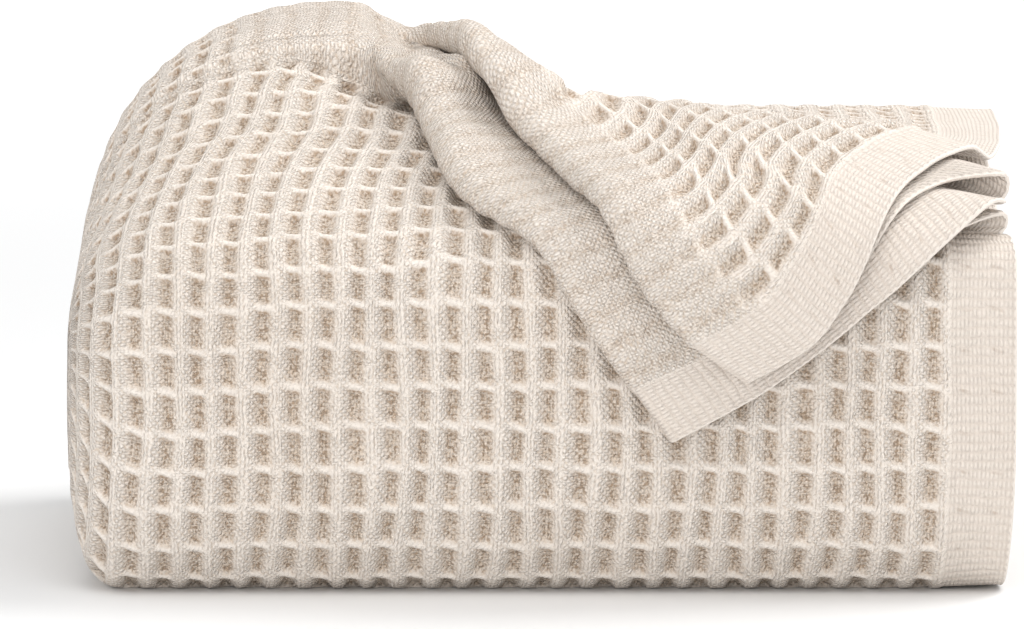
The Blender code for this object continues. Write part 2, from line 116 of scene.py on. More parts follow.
FOLD_LINES = (
    level_line("sole_back", -241, 188, -172),
    level_line("sole_rear", -226, 188, -172),
    level_line("sole_front", -22, 188, -172),
    level_line("foot", -6, 188.5, -171),
    level_line("instep", 12, 189.5, -168),
    level_line("shin", 38, 191, -160, 2),
    level_line("face", 67, 192, -150),
    level_line("chest", 99, 192, -147),
    level_line("brow", 128, 192, -142),
    FoldLine("bend", (192, 146, 0), (112, 147, 0), (37, 148, 0), (-33, 148, 0),
             (-70, 148, 0), (-130, 148, 0)),
    FoldLine("slope_low", (191.5, 157, 0), (110, 165, 0), (36, 180, 0), (-35, 188, 0),
             (-73, 190, 0), (-117, 190, 0)),
    FoldLine("slope_high", (190.5, 160, 0), (104, 182, 0), (30, 212, 0), (-37, 236, 0),
             (-82, 241, 0), (-107, 240, 0)),
    FoldLine("hollow_1", (190, 166, 0), (98, 196, 0), (20, 240, 0), (-38, 276, 0),
             (-80, 281, 0), (-100, 276, 0)),
    FoldLine("inner_fold_1", (189, 174, 5), (91, 206, 3.6), (12, 254, 3.6), (-40, 291, 3.6),
             (-80, 295, 6.5), (-97, 286, 0.5), turn=(5, 3.6, 3.6, 3.6, 6.5, 0)),
    FoldLine("under_1", (168, 157, 9.6), (80, 190, 7.2), (2, 238, 7.2), (-41, 279, 7.2),
             (-80, 295.3, 6), (-96, 292, 1.5), steps=3),
    FoldLine("under_2", (138, 133, 7.6), (60, 169, 7.2), (-12, 218, 7.2), (-43, 269, 7.2),
             (-80, 296, 8), (-96, 294, 2.5), steps=3),
    FoldLine("under_3", (98, 100, 6), (32, 153, 7.2), (-25, 202, 7.2), (-47, 259, 7.2),
             (-80, 296.6, 8.8), (-95, 296, 3.5)),
    FoldLine("roll_1", (52, 73, 8.6), (6, 141, 11.5), (-36, 190, 13), (-57, 249, 14),
             (-80, 296.6, 7), (-95, 301, 4.5), turn=(3, 4.5, 6, 7, 7, 0)),
    FoldLine("valley", (90, 94, 10), (36, 150, 14), (2, 212, 14), (-31, 262, 14),
             (-78, 310, 13.5), (-94, 307, 5.5), steps=3),
    FoldLine("strip", (128, 125, 11), (62, 174, 14), (10, 234, 14), (-27, 277, 14),
             (-75, 314, 13), (-93, 312, 5.5), steps=3),
    FoldLine("rim", (181, 163, 13), (94, 210, 14), (16, 258, 14), (-23, 294, 14),
             (-70, 319, 12), (-92, 318, 5)),
    FoldLine("dip", (188, 176, 8), (97, 220, 7), (19, 268, 6), (-18, 308, 6),
             (-65, 325, 8.5), (-91, 325, 4.5)),
    FoldLine("inner_fold_2", (190, 190, 13), (97, 230, 15), (20, 278, 15), (-14, 321, 15),
             (-60, 336, 14), (-90, 333, 5), turn=(5, 3.6, 3.6, 3.6, 5.5, 0)),
    FoldLine("under_4", (166, 180, 17.5), (84, 212, 21), (14, 262, 21), (-16, 307, 21),
             (-60, 336.9, 14), (-89.5, 340, 6), steps=3),
    FoldLine("under_5", (138, 151, 16), (66, 184, 21), (12, 238, 21), (-20, 292, 21),
             (-60, 338, 16.5), (-89.5, 344, 6.5), steps=3),
    FoldLine("under_6", (110, 120, 14), (48, 161, 21), (10, 214, 21), (-25, 278, 21),
             (-60, 339.2, 19.5), (-89, 348, 7)),
    FoldLine("roll_2", (82, 99, 17), (31, 147, 26), (-1, 204, 27), (-30, 264, 26.5),
             (-61, 339, 18.5), (-89, 354, 7.5), turn=(3.2, 5, 6, 7, 10, 0)),
    FoldLine("flap_low", (108, 116, 18.5), (56, 160, 28), (24, 214, 28), (-8, 270, 28),
             (-60, 357, 24), (-88, 361, 7), steps=3),
    FoldLine("flap_mid", (136, 150, 19.5), (80, 186, 28), (44, 238, 27), (6, 284, 23),
             (-60, 361, 20), (-87, 367, 6), steps=3),
    FoldLine("flap_high", (158, 184, 20.5), (104, 222, 26), (56, 266, 22), (14, 306, 16),
             (-62, 368, 14), (-87, 374, 5), steps=3),
    FoldLine("top_front", (183, 214, 15), (114, 256, 18), (56, 300, 14), (0, 334, 10),
             (-64, 375, 8), (-87, 380, 3), steps=2),
    FoldLine("top", (190, 262, 8), (108, 290, 9), (44, 326, 8), (-24, 352, 6),
             (-67, 382, 4), (-88, 386, 2), steps=2),
    FoldLine("top_back", (193, 335, 2), (108, 345, 3), (38, 362, 3), (-30, 380, 2),
             (-70, 390, 2), (-90, 393, 1)),
    level_line("rear", 402, 193, -96),
    level_line("shoulder", 447, 192, -112, 2),
    level_line("back", 487, 190, -140),
    level_line("back_low", 547, 188, -152),
    level_line("hem", 600, 188, -158),
)


def through(knots: Sequence[float], values: np.ndarray, places: np.ndarray) -> np.ndarray:
    """Smooth curve through the values at the knots, read at the places.

    Cubic pieces; the slope at a knot is the mean of its two chords, weighted by their lengths.

    Args:
        knots: rising numbers, one for each value.
        values: the values, knots first.
        places: where the curve is read, within the knots.

    Returns:
        The curve's values at the places.
    """
    knots = np.asarray(knots, float)
    shape = values.shape[1:]
    values = np.asarray(values, float).reshape(len(knots), -1)
    span = np.diff(knots)[:, None]
    chord = np.diff(values, axis=0) / span
    slope = np.empty_like(values)
    slope[0], slope[-1] = chord[0], chord[-1]
    slope[1:-1] = (chord[:-1] * span[1:] + chord[1:] * span[:-1]) / (span[1:] + span[:-1])
    piece = np.clip(np.searchsorted(knots, places, side="right") - 1, 0, len(knots) - 2)
    width = span[piece]
    part = ((places - knots[piece]) / width[:, 0])[:, None]
    start = values[piece] * (1 + 2 * part) * (1 - part) ** 2
    start += slope[piece] * width * part * (1 - part) ** 2
    end = values[piece + 1] * part ** 2 * (3 - 2 * part)
    end += slope[piece + 1] * width * part ** 2 * (part - 1)
    return (start + end).reshape((len(places),) + shape)


def steps_of(points: np.ndarray, axis: int) -> np.ndarray:
    """Running distance along one axis of a grid of points: the sum of its steps' lengths.

    Args:
        points: the grid, with each point's coordinates last.
        axis: the axis along which the steps are taken.

    Returns:
        The distance at each point, from 0.
    """
    lengths = np.linalg.norm(np.diff(points, axis=axis), axis=-1)
    start = np.zeros_like(np.take(lengths, [0], axis=axis))
    return np.concatenate([start, np.cumsum(lengths, axis=axis)], axis=axis)


def normals_of(points: np.ndarray) -> np.ndarray:
    """Unit normals of a grid of points: the cross product of its two central differences.

    Args:
        points: (x, y, z), rows by columns.

    Returns:
        One unit vector for each point.
    """
    down = np.gradient(points, axis=0)
    across = np.gradient(points, axis=1)
    normal = np.cross(down, across)
    return normal / np.maximum(np.linalg.norm(normal, axis=-1, keepdims=True), 1e-9)


def row_places(own: np.ndarray, counts: Sequence[int]) -> np.ndarray:
    """Where the fine rows lie on a curve with knots own: counts[row] even steps after each."""
    return np.array([own[row] + (own[row + 1] - own[row]) * step / counts[row]
                     for row in range(len(own) - 1) for step in range(counts[row])] + [own[-1]])


def rise(place: np.ndarray, low: float, high: float) -> np.ndarray:
    """A smooth step from 0 at low to 1 at high, either way round."""
    share = np.clip((place - low) / (high - low), 0, 1)
    return share * share * (3 - 2 * share)


def bump(place: np.ndarray, middle: float, reach: float) -> np.ndarray:
    """A smooth bump: 1 in the middle, 0 from its reach on."""
    return np.clip(1 - ((place - middle) / reach) ** 2, 0, 1) ** 2


def rounded(distance: np.ndarray, radius: float) -> np.ndarray:
    """What the cloth keeps of its thickness near an edge: the height of a quarter circle."""
    return np.sqrt(np.clip(1 - (1 - np.clip(distance / radius, 0, 1)) ** 2, 0.1, 1))


class Form(NamedTuple):
    """A low smooth form: its height, its middle and reach in x, and the same up the bed or in y."""
    height: float
    x: float
    x_reach: float
    along: float
    along_reach: float

    def at(self, x: np.ndarray, along: np.ndarray, share: float | np.ndarray = 1.0) -> np.ndarray:
        """A share of the form's height at each place: one bump in x times one the other way."""
        return share * self.height * bump(x, self.x, self.x_reach) * bump(
            along, self.along, self.along_reach)


@dataclass
class Settling:
    """How the finished bundle settles: its crown is pushed to the right and its rolls sink."""
    crown_push: float = 8.0
    crown_across: Span = (-85.0, 110.0)
    crown_heights: Span = (150.0, 205.0)
    roll_sink: float = 7.0
    rolls_across: Span = (-42.0, 50.0)
    roll_heights: Span = (180.0, 235.0)

    def settled(self, points: np.ndarray) -> np.ndarray:
        """Move points by each distance times a smooth bump across and a smooth step in height.

        Args:
            points: (x, y, z) in any grid.

        Returns:
            The moved points.
        """
        points = points.copy()
        x, z = points[..., 0].copy(), points[..., 2].copy()
        points[..., 0] += self.crown_push * bump(x, *self.crown_across) * rise(
            z, *self.crown_heights)
        points[..., 2] -= self.roll_sink * bump(x, *self.rolls_across) * rise(
            z, *self.roll_heights)
        return points


@dataclass
class Bed:
    """The bundle's curved front, top and back, which every layer follows."""
    depth: float = 285.0
    sole_back: float = 268.0
    resting: float = 2.5
    round_depth: float = 32.0
    round_height: float = 58.0
    foot_up: float = -5.0
    right_from: float = 20.0
    left_from: float = -110.0
    top_between: Span = (125.0, 480.0)
    fineness: tuple[int, int, int] = (60, 120, 1500)

    def __post_init__(self) -> None:
        """Work out both sections and the distance along the left one."""
        self.right = self._side("right")
        self.left = self._side("left")
        self.up = steps_of(self.left, 0)
        self.up += self.foot_up - self.up[self.fineness[0] - 1]

    def _side(self, which: str) -> np.ndarray:
        """A section of the bed: level sole, quarter ellipse, then a smooth curve through BED.

        The curve's knots are the running square roots of the left section's chords, so that both
        sections share them.

        Args:
            which: "right" or "left".

        Returns:
            Close (y, z) points, from the back of the sole to the hem.
        """
        sole_points, round_points, upper_points = self.fineness
        sole = np.stack([np.linspace(self.sole_back, self.round_depth, sole_points),
                         np.full(sole_points, self.resting)], 1)[:-1]
        turn = np.linspace(0, math.pi / 2, round_points)[:-1]
        front = np.stack([self.round_depth * (1 - np.sin(turn)),
                          self.resting + self.round_height * (1 - np.cos(turn))], 1)
        upper = np.array([getattr(point, which) for point in BED], float)
        left = np.array([point.left for point in BED], float)
        roots = np.sqrt(np.linalg.norm(np.diff(left, axis=0), axis=1))
        knots = np.concatenate([[-roots[0], 0.0], np.cumsum(roots)])
        below = upper[0] - (0.0, self.round_height / 2)
        risen = through(knots, np.vstack([below, upper]), np.linspace(0, knots[-1], upper_points))
        return np.vstack([sole, front, risen])

    def left_share(self, x: np.ndarray) -> np.ndarray:
        """How much of the left-hand section the bed has at x, as a smooth step from 0 to 1."""
        return rise(x, self.right_from, self.left_from)

    def point(self, x: np.ndarray, up: np.ndarray) -> np.ndarray:
        """A point of the bed: the two sections mixed by left_share.

        Args:
            x: how far to the right.
            up: how far up along the bed.

        Returns:
            (y, z) for each x and up.
        """
        share = self.left_share(x)[..., None]
        right = np.stack([np.interp(up, self.up, self.right[:, axis]) for axis in (0, 1)], -1)
        left = np.stack([np.interp(up, self.up, self.left[:, axis]) for axis in (0, 1)], -1)
        return right * (1 - share) + left * share

    def lifted(self, places: np.ndarray, reach: float = 2.5) -> np.ndarray:
        """Points over the bed: the bed's point, moved out along its normal by the lift.

        Args:
            places: (x, up, lift) in any grid.
            reach: how far up and down the bed's direction is read.

        Returns:
            (x, y, z), in the same grid.
        """
        x, up, lift = places[..., 0], places[..., 1], places[..., 2]
        along = self.point(x, up + reach) - self.point(x, up - reach)
        along /= np.linalg.norm(along, axis=-1, keepdims=True)
        point = self.point(x, up)
        return np.stack([x, point[..., 0] - along[..., 1] * lift,
                         point[..., 1] + along[..., 0] * lift], -1)

    def height(self, x: np.ndarray, y: np.ndarray) -> np.ndarray:
        """Height of the bed's top: the two sections' heights mixed by left_share.

        Args:
            x: how far to the right.
            y: how far back.

        Returns:
            The height above each x and y.
        """
        low, high = self.top_between
        top = (self.up > low) & (self.up < high)
        share = self.left_share(x)
        right = np.interp(y, self.right[top, 0], self.right[top, 1])
        return right * (1 - share) + np.interp(y, self.left[top, 0], self.left[top, 1]) * share


@dataclass
class LeftEnd:
    """The closed left end, where the cloth draws in to a level line inside the bundle."""
    reach_x: float = -194.0
    core_height: float = 95.0
    core_front: float = 60.0
    core_back: float = 225.0
    squareness: float = 2.44
    low_squareness: float = 3.4
    mouth: float = math.radians(89.8)
    columns: int = 64

    def shrink(self) -> np.ndarray:
        """How open the end still is at each closing column, from near 1 to near 0."""
        return np.cos(self._angles())

    def _angles(self) -> np.ndarray:
        """The closing columns' angles round the end."""
        return np.linspace(0, self.mouth, self.columns + 1)[1:]

    def close(self, crown: np.ndarray) -> np.ndarray:
        """Closing columns: a superellipse from each crown point to the core line.

        The section shrinks towards the core by cos^p and runs out to reach_x by sin^p, where p is
        2 / squareness and the end is squarer low down.

        Args:
            crown: the crown's points, one row each.

        Returns:
            The closing columns' points, rows by columns.
        """
        core = np.stack([np.clip(crown[:, 1], self.core_front, self.core_back),
                         np.full(len(crown), self.core_height)], 1)
        height = np.clip(crown[:, 2] / self.core_height, 0, 1)
        power = 2 / (self.low_squareness + (self.squareness - self.low_squareness) * height)
        angles = self._angles()
        shrink = np.cos(angles)[None, :] ** power[:, None]
        reach = np.sin(angles)[None, :] ** power[:, None]
        x = crown[:, :1] + (self.reach_x - crown[:, :1]) * reach
        across = core[:, None] + (crown[:, None, 1:] - core[:, None]) * shrink[..., None]
        return np.concatenate([x[..., None], across], axis=-1)

    def drawn_in(self, x: np.ndarray, start: float) -> np.ndarray:
        """How far the end has drawn in at x, where it starts at start: 1 is not at all."""
        reach = np.clip((start - x) / (start - self.reach_x), 0, 1)
        return (1 - reach ** self.squareness) ** (1 / self.squareness)


@dataclass
class Weave:
    """The waffle weave: square pits between vertical ridges and sloping floats, and its band.

    ridge and float_ridge are distances from a ridge's middle, in cells: where it starts to rise
    and where it is full.
    """
    cell_across: float = 13.0
    cell_down: float = 16.8
    band: float = 27.0
    slope: float = 0.2
    lean: float = 0.05
    ridge: Span = (0.38, 0.13)
    float_ridge: Span = (0.21, 0.05)
    float_height: float = 0.86
    depth: float = 3.3
    crest: float = 2.9
    back: float = 1.9
    band_below: float = 1.1
    band_starts: Span = (1.0, 3.0)
    selvage_thin: float = 0.8
    edge_radius: float = 1.2
    bead: tuple[float, float, float] = (0.35, 1.0, 0.7)
    wander: float = 0.3
    wave_lengths: Span = (25.0, 70.0)
    waves: int = 7

    def wandered(self, u: np.ndarray, v: np.ndarray) -> tuple[np.ndarray, np.ndarray]:
        """The cloth distances with the small wander of a real weave.

        A sum of sine waves of random length, direction and phase is added to each; the selvage
        itself stays where it is.

        Args:
            u: distance from the selvage, in millimetres.
            v: distance along the selvage, in millimetres.

        Returns:
            Both distances, moved.
        """
        rng = np.random.default_rng(5)
        moved = []
        for base in (u, v):
            total = np.zeros_like(u)
            for _ in range(self.waves):
                length = rng.uniform(*self.wave_lengths)
                turn, phase = rng.uniform(0, math.tau), rng.uniform(0, 6.3)
                along = u * math.cos(turn) + v * math.sin(turn)
                total += np.sin(along * math.tau / length + phase)
            moved.append(base + self.wander * total * np.clip(u / self.band, 0, 1))
        return moved[0], moved[1]

    def relief(self, u: np.ndarray, v: np.ndarray) -> np.ndarray:
        """Height of the weave, from 0 in a pit to 1 on a ridge.

        One minus the product of what each ridge leaves: a smooth step of the distance to the
        nearest vertical ridge, and one to the nearest float, which slopes across its cell.

        Args:
            u: distance from the selvage, in millimetres.
            v: distance along the selvage, in millimetres.

        Returns:
            The relief, shaped like u.
        """
        a = (u - self.band) / self.cell_across
        a -= np.floor(a)
        b = v / self.cell_down - self.slope * (a - 0.5)
        b -= np.floor(b)
        upright = rise(np.minimum(a - self.lean, 1 - a + self.lean), *self.ridge)
        level = rise(np.minimum(b, 1 - b), *self.float_ridge) * self.float_height
        waffle = 1 - (1 - upright) * (1 - level)
        return np.where(u < self.band, 1.0, waffle)

    def _thinner(self, u: np.ndarray) -> np.ndarray:
        """How much thinner each skin is: smoothly less over the band, from the selvage in."""
        return self.selvage_thin * (1 - rise(u, 0.0, self.band))

    def outside(self, u: np.ndarray, v: np.ndarray, fade: np.ndarray) -> np.ndarray:
        """Offset of the outer skin from the middle surface: the relief below the crest.

        The band lies a little below the ridges, and its selvage is a thin rounded bead, the
        exponential of minus the square of the distance from its middle.

        Args:
            u: distance from the selvage.
            v: distance along the selvage.
            fade: how much of the relief is left, from 0 to 1.

        Returns:
            The offset, shaped like u.
        """
        low = self.depth * (1 - self.relief(u, v)) * fade
        past, over = self.band_starts
        band = self.band_below * np.clip((self.band + past - u) / over, 0, 1)
        high, middle, width = self.bead
        bead = high * np.exp(-((u - middle) / width) ** 2)
        return (self.crest - low - band - self._thinner(u) + bead) * rounded(u, self.edge_radius)

    def inside(self, u: np.ndarray) -> np.ndarray:
        """Offset of the inner skin, which is thinner towards the selvage."""
        return -(self.back - self._thinner(u)) * np.clip(u / self.edge_radius, 0.3, 1)


@dataclass
class Shell:
    """A closed piece of cloth: a fine outer skin, a coarser inner one and the wall between."""
    name: str
    middle: np.ndarray
    normal: np.ndarray
    outside: np.ndarray
    inside: np.ndarray
    u: np.ndarray
    v: np.ndarray
    taut: np.ndarray
    row_stride: int = 2
    column_stride: int = 4
    edge_columns: int = 4

    @staticmethod
    def _kept(count: int, stride: int, edge: int) -> np.ndarray:
        """Which rows or columns the inner skin keeps: the first few, then every stride-th."""
        return np.array(list(range(edge)) + list(range(edge, count - 1, stride)) + [count - 1])

    def build(self) -> bpy.types.Object:
        """Make the mesh: both skins as grids, and one face for each step of the border.

        Returns:
            The piece, with its UV map "cloth" (u, v) in metres and its attribute "taut".
        """
        rows, columns = self.middle.shape[:2]
        kept_rows = self._kept(rows, self.row_stride, 1)
        kept_columns = self._kept(columns, self.column_stride, self.edge_columns)
        kept = np.ix_(kept_rows, kept_columns)
        outer = self.middle + self.normal * self.outside[..., None]
        inner = (self.middle + self.normal * self.inside[..., None])[kept]
        points = np.vstack([outer.reshape(-1, 3), inner.reshape(-1, 3)])
        points[:, :2] -= CENTRE
        number = np.arange(rows * columns).reshape(rows, columns)
        under = rows * columns + np.arange(inner.shape[0] * inner.shape[1])
        under = under.reshape(inner.shape[:2])
        quads = np.vstack([self._quads(number), self._quads(under)[:, ::-1]])
        walls = self._walls(number, under, kept_rows, kept_columns)
        mesh = bpy.data.meshes.new(self.name)
        mesh.from_pydata((points * MM).tolist(), [], quads.tolist() + walls)
        place = np.stack([self.u, self.v], -1)
        uv = np.vstack([place.reshape(-1, 2), place[kept].reshape(-1, 2)])
        layer = mesh.uv_layers.new(name="cloth")
        loops = np.empty(len(mesh.loops), np.int32)
        mesh.loops.foreach_get("vertex_index", loops)
        layer.data.foreach_set("uv", (uv[loops] * MM).astype(np.float32).ravel())
        taut = np.concatenate([self.taut.ravel(), self.taut[kept].ravel()])
        mesh.attributes.new("taut", "FLOAT", "POINT").data.foreach_set("value", taut)
        mesh.polygons.foreach_set("use_smooth", np.ones(len(mesh.polygons), bool))
        self._sharpen(mesh, len(quads))
        mesh.update()
        piece = bpy.data.objects.new(self.name, mesh)
        bpy.context.scene.collection.objects.link(piece)
        return piece

    @staticmethod
    def _quads(number: np.ndarray) -> np.ndarray:
        """Quads of a grid of point numbers, facing out along its normals."""
        return np.stack([number[:-1, :-1], number[1:, :-1], number[1:, 1:], number[:-1, 1:]],
                        -1).reshape(-1, 4)

    @staticmethod
    def _walls(number: np.ndarray, under: np.ndarray, kept_rows: np.ndarray,
               kept_columns: np.ndarray) -> list[list[int]]:
        """Faces round the border, one for each step of the inner skin.

        Args:
            number: the outer skin's point numbers, rows by columns.
            under: the inner skin's.
            kept_rows: the outer rows that the inner skin keeps.
            kept_columns: the outer columns that it keeps.

        Returns:
            Each face's point numbers, facing out.
        """
        walls = []
        for fine, coarse, kept, flip in (
                (number[0], under[0], kept_columns, False),
                (number[-1], under[-1], kept_columns, True),
                (number[:, 0], under[:, 0], kept_rows, True),
                (number[:, -1], under[:, -1], kept_rows, False)):
            for step in range(len(kept) - 1):
                wall = list(fine[kept[step]:kept[step + 1] + 1]) + [coarse[step + 1], coarse[step]]
                walls.append([int(n) for n in (wall if not flip else wall[::-1])])
        return walls

    @staticmethod
    def _sharpen(mesh: bpy.types.Mesh, smooth_faces: int) -> None:
        """Mark the edges of the wall faces sharp, so that the skins keep their own shading.

        Args:
            mesh: the mesh.
            smooth_faces: how many faces come before the walls.
        """
        sharp = np.zeros(len(mesh.edges), bool)
        starts = np.empty(len(mesh.polygons), np.int32)
        mesh.polygons.foreach_get("loop_start", starts)
        edges = np.empty(len(mesh.loops), np.int32)
        mesh.loops.foreach_get("edge_index", edges)
        sharp[edges[starts[smooth_faces]:]] = True
        mesh.attributes.new("sharp_edge", "BOOLEAN", "EDGE").data.foreach_set("value", sharp)


@dataclass
class FineCloth:
    """A whole layer on its fine grid.

    fade is how much relief is left at each point, taut how far the cloth is drawn smooth, and
    marks the row of each fold line.
    """
    points: np.ndarray
    normal: np.ndarray
    u: np.ndarray
    v: np.ndarray
    fade: np.ndarray
    taut: np.ndarray
    marks: dict[str, int]


@dataclass
class FoldedLayer:
    """The outermost layer: under the bundle, up its front, through two rolls, over and down.

    The hollow lies in the cloth under the folds, and the raised forms in the folds over it. The
    rolls are taut from taut_before them up to their taut_reach, and so is the patch eased.
    """
    bed: Bed
    end: LeftEnd
    weave: Weave
    settling: Settling
    turn_steps: tuple[float, ...] = (-90.0, -45.0, 0.0, 45.0, 90.0)
    opened_turn: float = 3.0
    lip_slant: float = 20.0
    ply_pitch: Span = (3.5, 6.0)
    thin_until: float = 40.0
    pressed: tuple[float, ...] = (1.0, 0.78, 0.8, 0.85, 0.52, 1.0)
    hollow: Form = Form(12.0, -74.0, 48.0, 290.0, 32.0)
    raised: tuple[Form, ...] = (
        Form(2.0, -110.0, 60.0, 345.0, 62.0), Form(9.0, -41.0, 28.0, 318.0, 46.0),
        Form(-14.0, 3.0, 46.0, 308.0, 56.0), Form(-4.0, -70.0, 18.0, 345.0, 50.0))
    folded_until: float = 236.0
    open_from: float = 254.0
    stations: int = 20
    cell: float = 2.5
    map_shape: tuple[int, int] = (160, 240)
    map_start: Span = (-200.0, -20.0)
    quad_samples: int = 7
    past_crown: Span = (-40.0, 45.0)
    taut_before: Span = (-13.0, -5.0)
    taut_reach: dict[str, Span] = field(default_factory=lambda: {
        "roll_1": (44.0, 62.0), "roll_2": (18.0, 42.0)})
    taut_across: Span = (-150.0, -112.0)
    eased: Form = Form(1.0, -26.0, 50.0, 352.0, 75.0)
    crown_even: Span = (130.0, 300.0)
    relief_until: float = 0.5
    selvage_columns: tuple[float, ...] = (0.0, 0.3, 0.8, 1.5)
    column_start: float = 2.4
    column_step: float = 1.62
    row_step: float = 1.7
    hidden_step: float = 4.0
    rear_coarser: float = 1.3
    least_gap: float = 0.3

    def turned(self, line: FoldLine, before: np.ndarray, after: np.ndarray) -> list[np.ndarray]:
        """The rows of a fold: half a circle whose outermost line is the fold line.

        At the lip only the quarter of the circle nearer the upright cloth is left, and where the
        radius is 0 the rows lie side by side up the bed.

        Args:
            line: the fold line.
            before: the line before it, as (x, up, lift) by column.
            after: the line after it.

        Returns:
            One array of (x, up, lift) for each of the turn's steps.
        """
        points = line.points()
        radius = np.array(line.turn, float)[:, None]
        goes_back = line.name.startswith("inner")
        lip = ALONG.index(LIP_AT)
        outward = points - (before + after) / 2
        outward[:, 2] = 0
        outward[lip] = (0, 1 if goes_back else -1, 0)
        outward /= np.linalg.norm(outward, axis=1, keepdims=True)
        start = np.full((len(ALONG), 1), -90.0)
        end = np.full((len(ALONG), 1), 90.0)
        (end if goes_back else start)[lip] = -self.lip_slant if goes_back else self.lip_slant
        rows = []
        for degrees in self.turn_steps:
            angle = np.radians(start + (end - start) * (degrees + 90) / 180)
            offset = outward * radius * (np.cos(angle) - 1)
            offset = offset + np.array([0, 0, 1.0]) * radius * np.sin(angle)
            offset[radius[:, 0] == 0] = (0, self.opened_turn * degrees / 90.0, 0)
            rows.append(points + offset)
        return rows

    def rows(self) -> tuple[np.ndarray, list[int], list[int], dict[str, int]]:
        """The layer's rows at the places ALONG, with each fold's own rows.

        Returns:
            (x, up, lift) of each row, the steps after each, the first and last row of each ply,
            and each line's row.
        """
        columns = [line.points() for line in FOLD_LINES]
        rows: list[np.ndarray] = []
        steps: list[int] = []
        plies = [0]
        named: dict[str, int] = {}
        for index, line in enumerate(FOLD_LINES):
            made = [columns[index]]
            if line.turn:
                made = self.turned(line, columns[index - 1], columns[index + 1])
            first = sum(steps)
            named[line.name] = first + len(made) // 2
            rows += made
            steps += [1] * (len(made) - 1) + [line.steps]
            if line.turn:
                plies += [first, first + len(made) - 1]
        pressed = np.array(rows) * np.stack([np.ones(len(ALONG)), np.ones(len(ALONG)),
                                             np.array(self.pressed)], 1)
        return pressed, steps, plies + [sum(steps[:-1])], named

    def _samples(self, grid: np.ndarray) -> np.ndarray:
        """Places between the points of a grid: each quad's corners, mixed by their shares.

        Args:
            grid: (x, up, lift), rows by stations.

        Returns:
            (x, up, lift) by row, station and place within the quad.
        """
        part = np.linspace(0, 1, self.quad_samples)
        down, across = [share.ravel() for share in np.meshgrid(part, part, indexing="ij")]
        weights = np.stack([(1 - down) * (1 - across), (1 - down) * across,
                            down * (1 - across), down * across], 1)
        corners = np.stack([grid[:-1, :-1], grid[:-1, 1:], grid[1:, :-1], grid[1:, 1:]], 2)
        return np.einsum("pc,rscv->rspv", weights, corners)

    @staticmethod
    def _spread(heights: np.ndarray) -> np.ndarray:
        """Each map cell's largest neighbour."""
        wide = np.pad(heights, 1, mode="edge")
        return np.max([wide[i:i + heights.shape[0], j:j + heights.shape[1]]
                       for i in range(3) for j in range(3)], axis=0)

    def _along(self) -> np.ndarray:
        """The coarse stations' places along the layer, in the numbers of ALONG."""
        return np.linspace(0, ALONG[-1], self.stations)

    def _map_cell(self, places: np.ndarray) -> tuple[np.ndarray, np.ndarray]:
        """The cell of the height map under each place (x, up, lift)."""
        return tuple(np.clip((places[..., axis] - self.map_start[axis]) / self.cell, 0,
                             self.map_shape[axis] - 1).astype(int) for axis in (0, 1))

    def stacked(self, body: np.ndarray, plies: list[int]) -> np.ndarray:
        """The layer with each ply lifted clear of the plies under it, by a map of their heights.

        The rows of a turn follow by the sine of their angle, between its two plies.

        Args:
            body: (x, up, lift), rows by stations.
            plies: the first and last row of each ply; the rows between are their turn.

        Returns:
            The same grid with its lifts raised.
        """
        body = body.copy()
        lying = body[..., 2].copy()
        along = self._along()
        fade = np.clip((self.open_from - along) / (self.open_from - self.folded_until), 0, 1)
        thin, full = self.ply_pitch
        middles = (along[:-1] + along[1:])[:, None] / 2
        pitch = thin + (full - thin) * rise(middles, 0, self.thin_until)
        cells = np.full(self.map_shape, -math.inf)
        spans = list(zip(plies[::2], plies[1::2]))
        for order, (first, last) in enumerate(spans):
            ply = body[first:last + 1]
            if order:
                below = self._spread(cells)
                for _ in range(3):
                    places = self._samples(ply)
                    short = below[self._map_cell(places)] + pitch - places[..., 2]
                    short = np.pad(np.maximum(short.max(axis=2), 0), 1)
                    ply[..., 2] += fade * np.max([short[:-1, :-1], short[1:, :-1],
                                                  short[:-1, 1:], short[1:, 1:]], axis=0)
                start = spans[order - 1][1]
                moved = body[..., 2] - lying
                for row, degrees in zip(range(start + 1, first), self.turn_steps[1:-1]):
                    share = (1 + math.sin(math.radians(degrees))) / 2
                    body[row, :, 2] += moved[start] + (moved[first] - moved[start]) * share
            places = self._samples(ply)
            np.maximum.at(cells, self._map_cell(places), places[..., 2])
        return body

    def coarse(self) -> tuple[np.ndarray, dict[str, int]]:
        """The stacked layer on its coarse grid: smooth curves through the rows at each station.

        Returns:
            (x, up, lift), rows by stations, and each line's row.
        """
        rows, steps, plies, named = self.rows()
        full = np.concatenate([rows, rows[:, -1:] + np.array([self.past_crown[0], 0, 0])], axis=1)
        knots = ALONG + (ALONG[-1] + self.past_crown[1],)
        drawn = np.moveaxis(through(knots, np.moveaxis(full, 1, 0), self._along()), 0, 1)
        by_station = []
        for line in np.moveaxis(drawn, 1, 0):
            chords = np.sqrt(np.maximum(np.linalg.norm(np.diff(line, axis=0), axis=1), 0.2))
            own = np.concatenate([[0.0], np.cumsum(chords)])
            by_station.append(through(own, line, row_places(own, steps)))
        return self.stacked(np.array(by_station).transpose(1, 0, 2), plies), named

    def _columns(self, face: np.ndarray) -> np.ndarray:
        """The fine columns: close at the selvage, then even along the front's face.

        Args:
            face: (x, up, lift) of the face's line, by station.

        Returns:
            Their places along the layer, in the numbers of ALONG.
        """
        along = steps_of(self.bed.lifted(face), 0)
        even = np.arange(self.column_start, along[-1], self.column_step)
        return np.interp(np.concatenate([self.selvage_columns, even]), along, self._along())

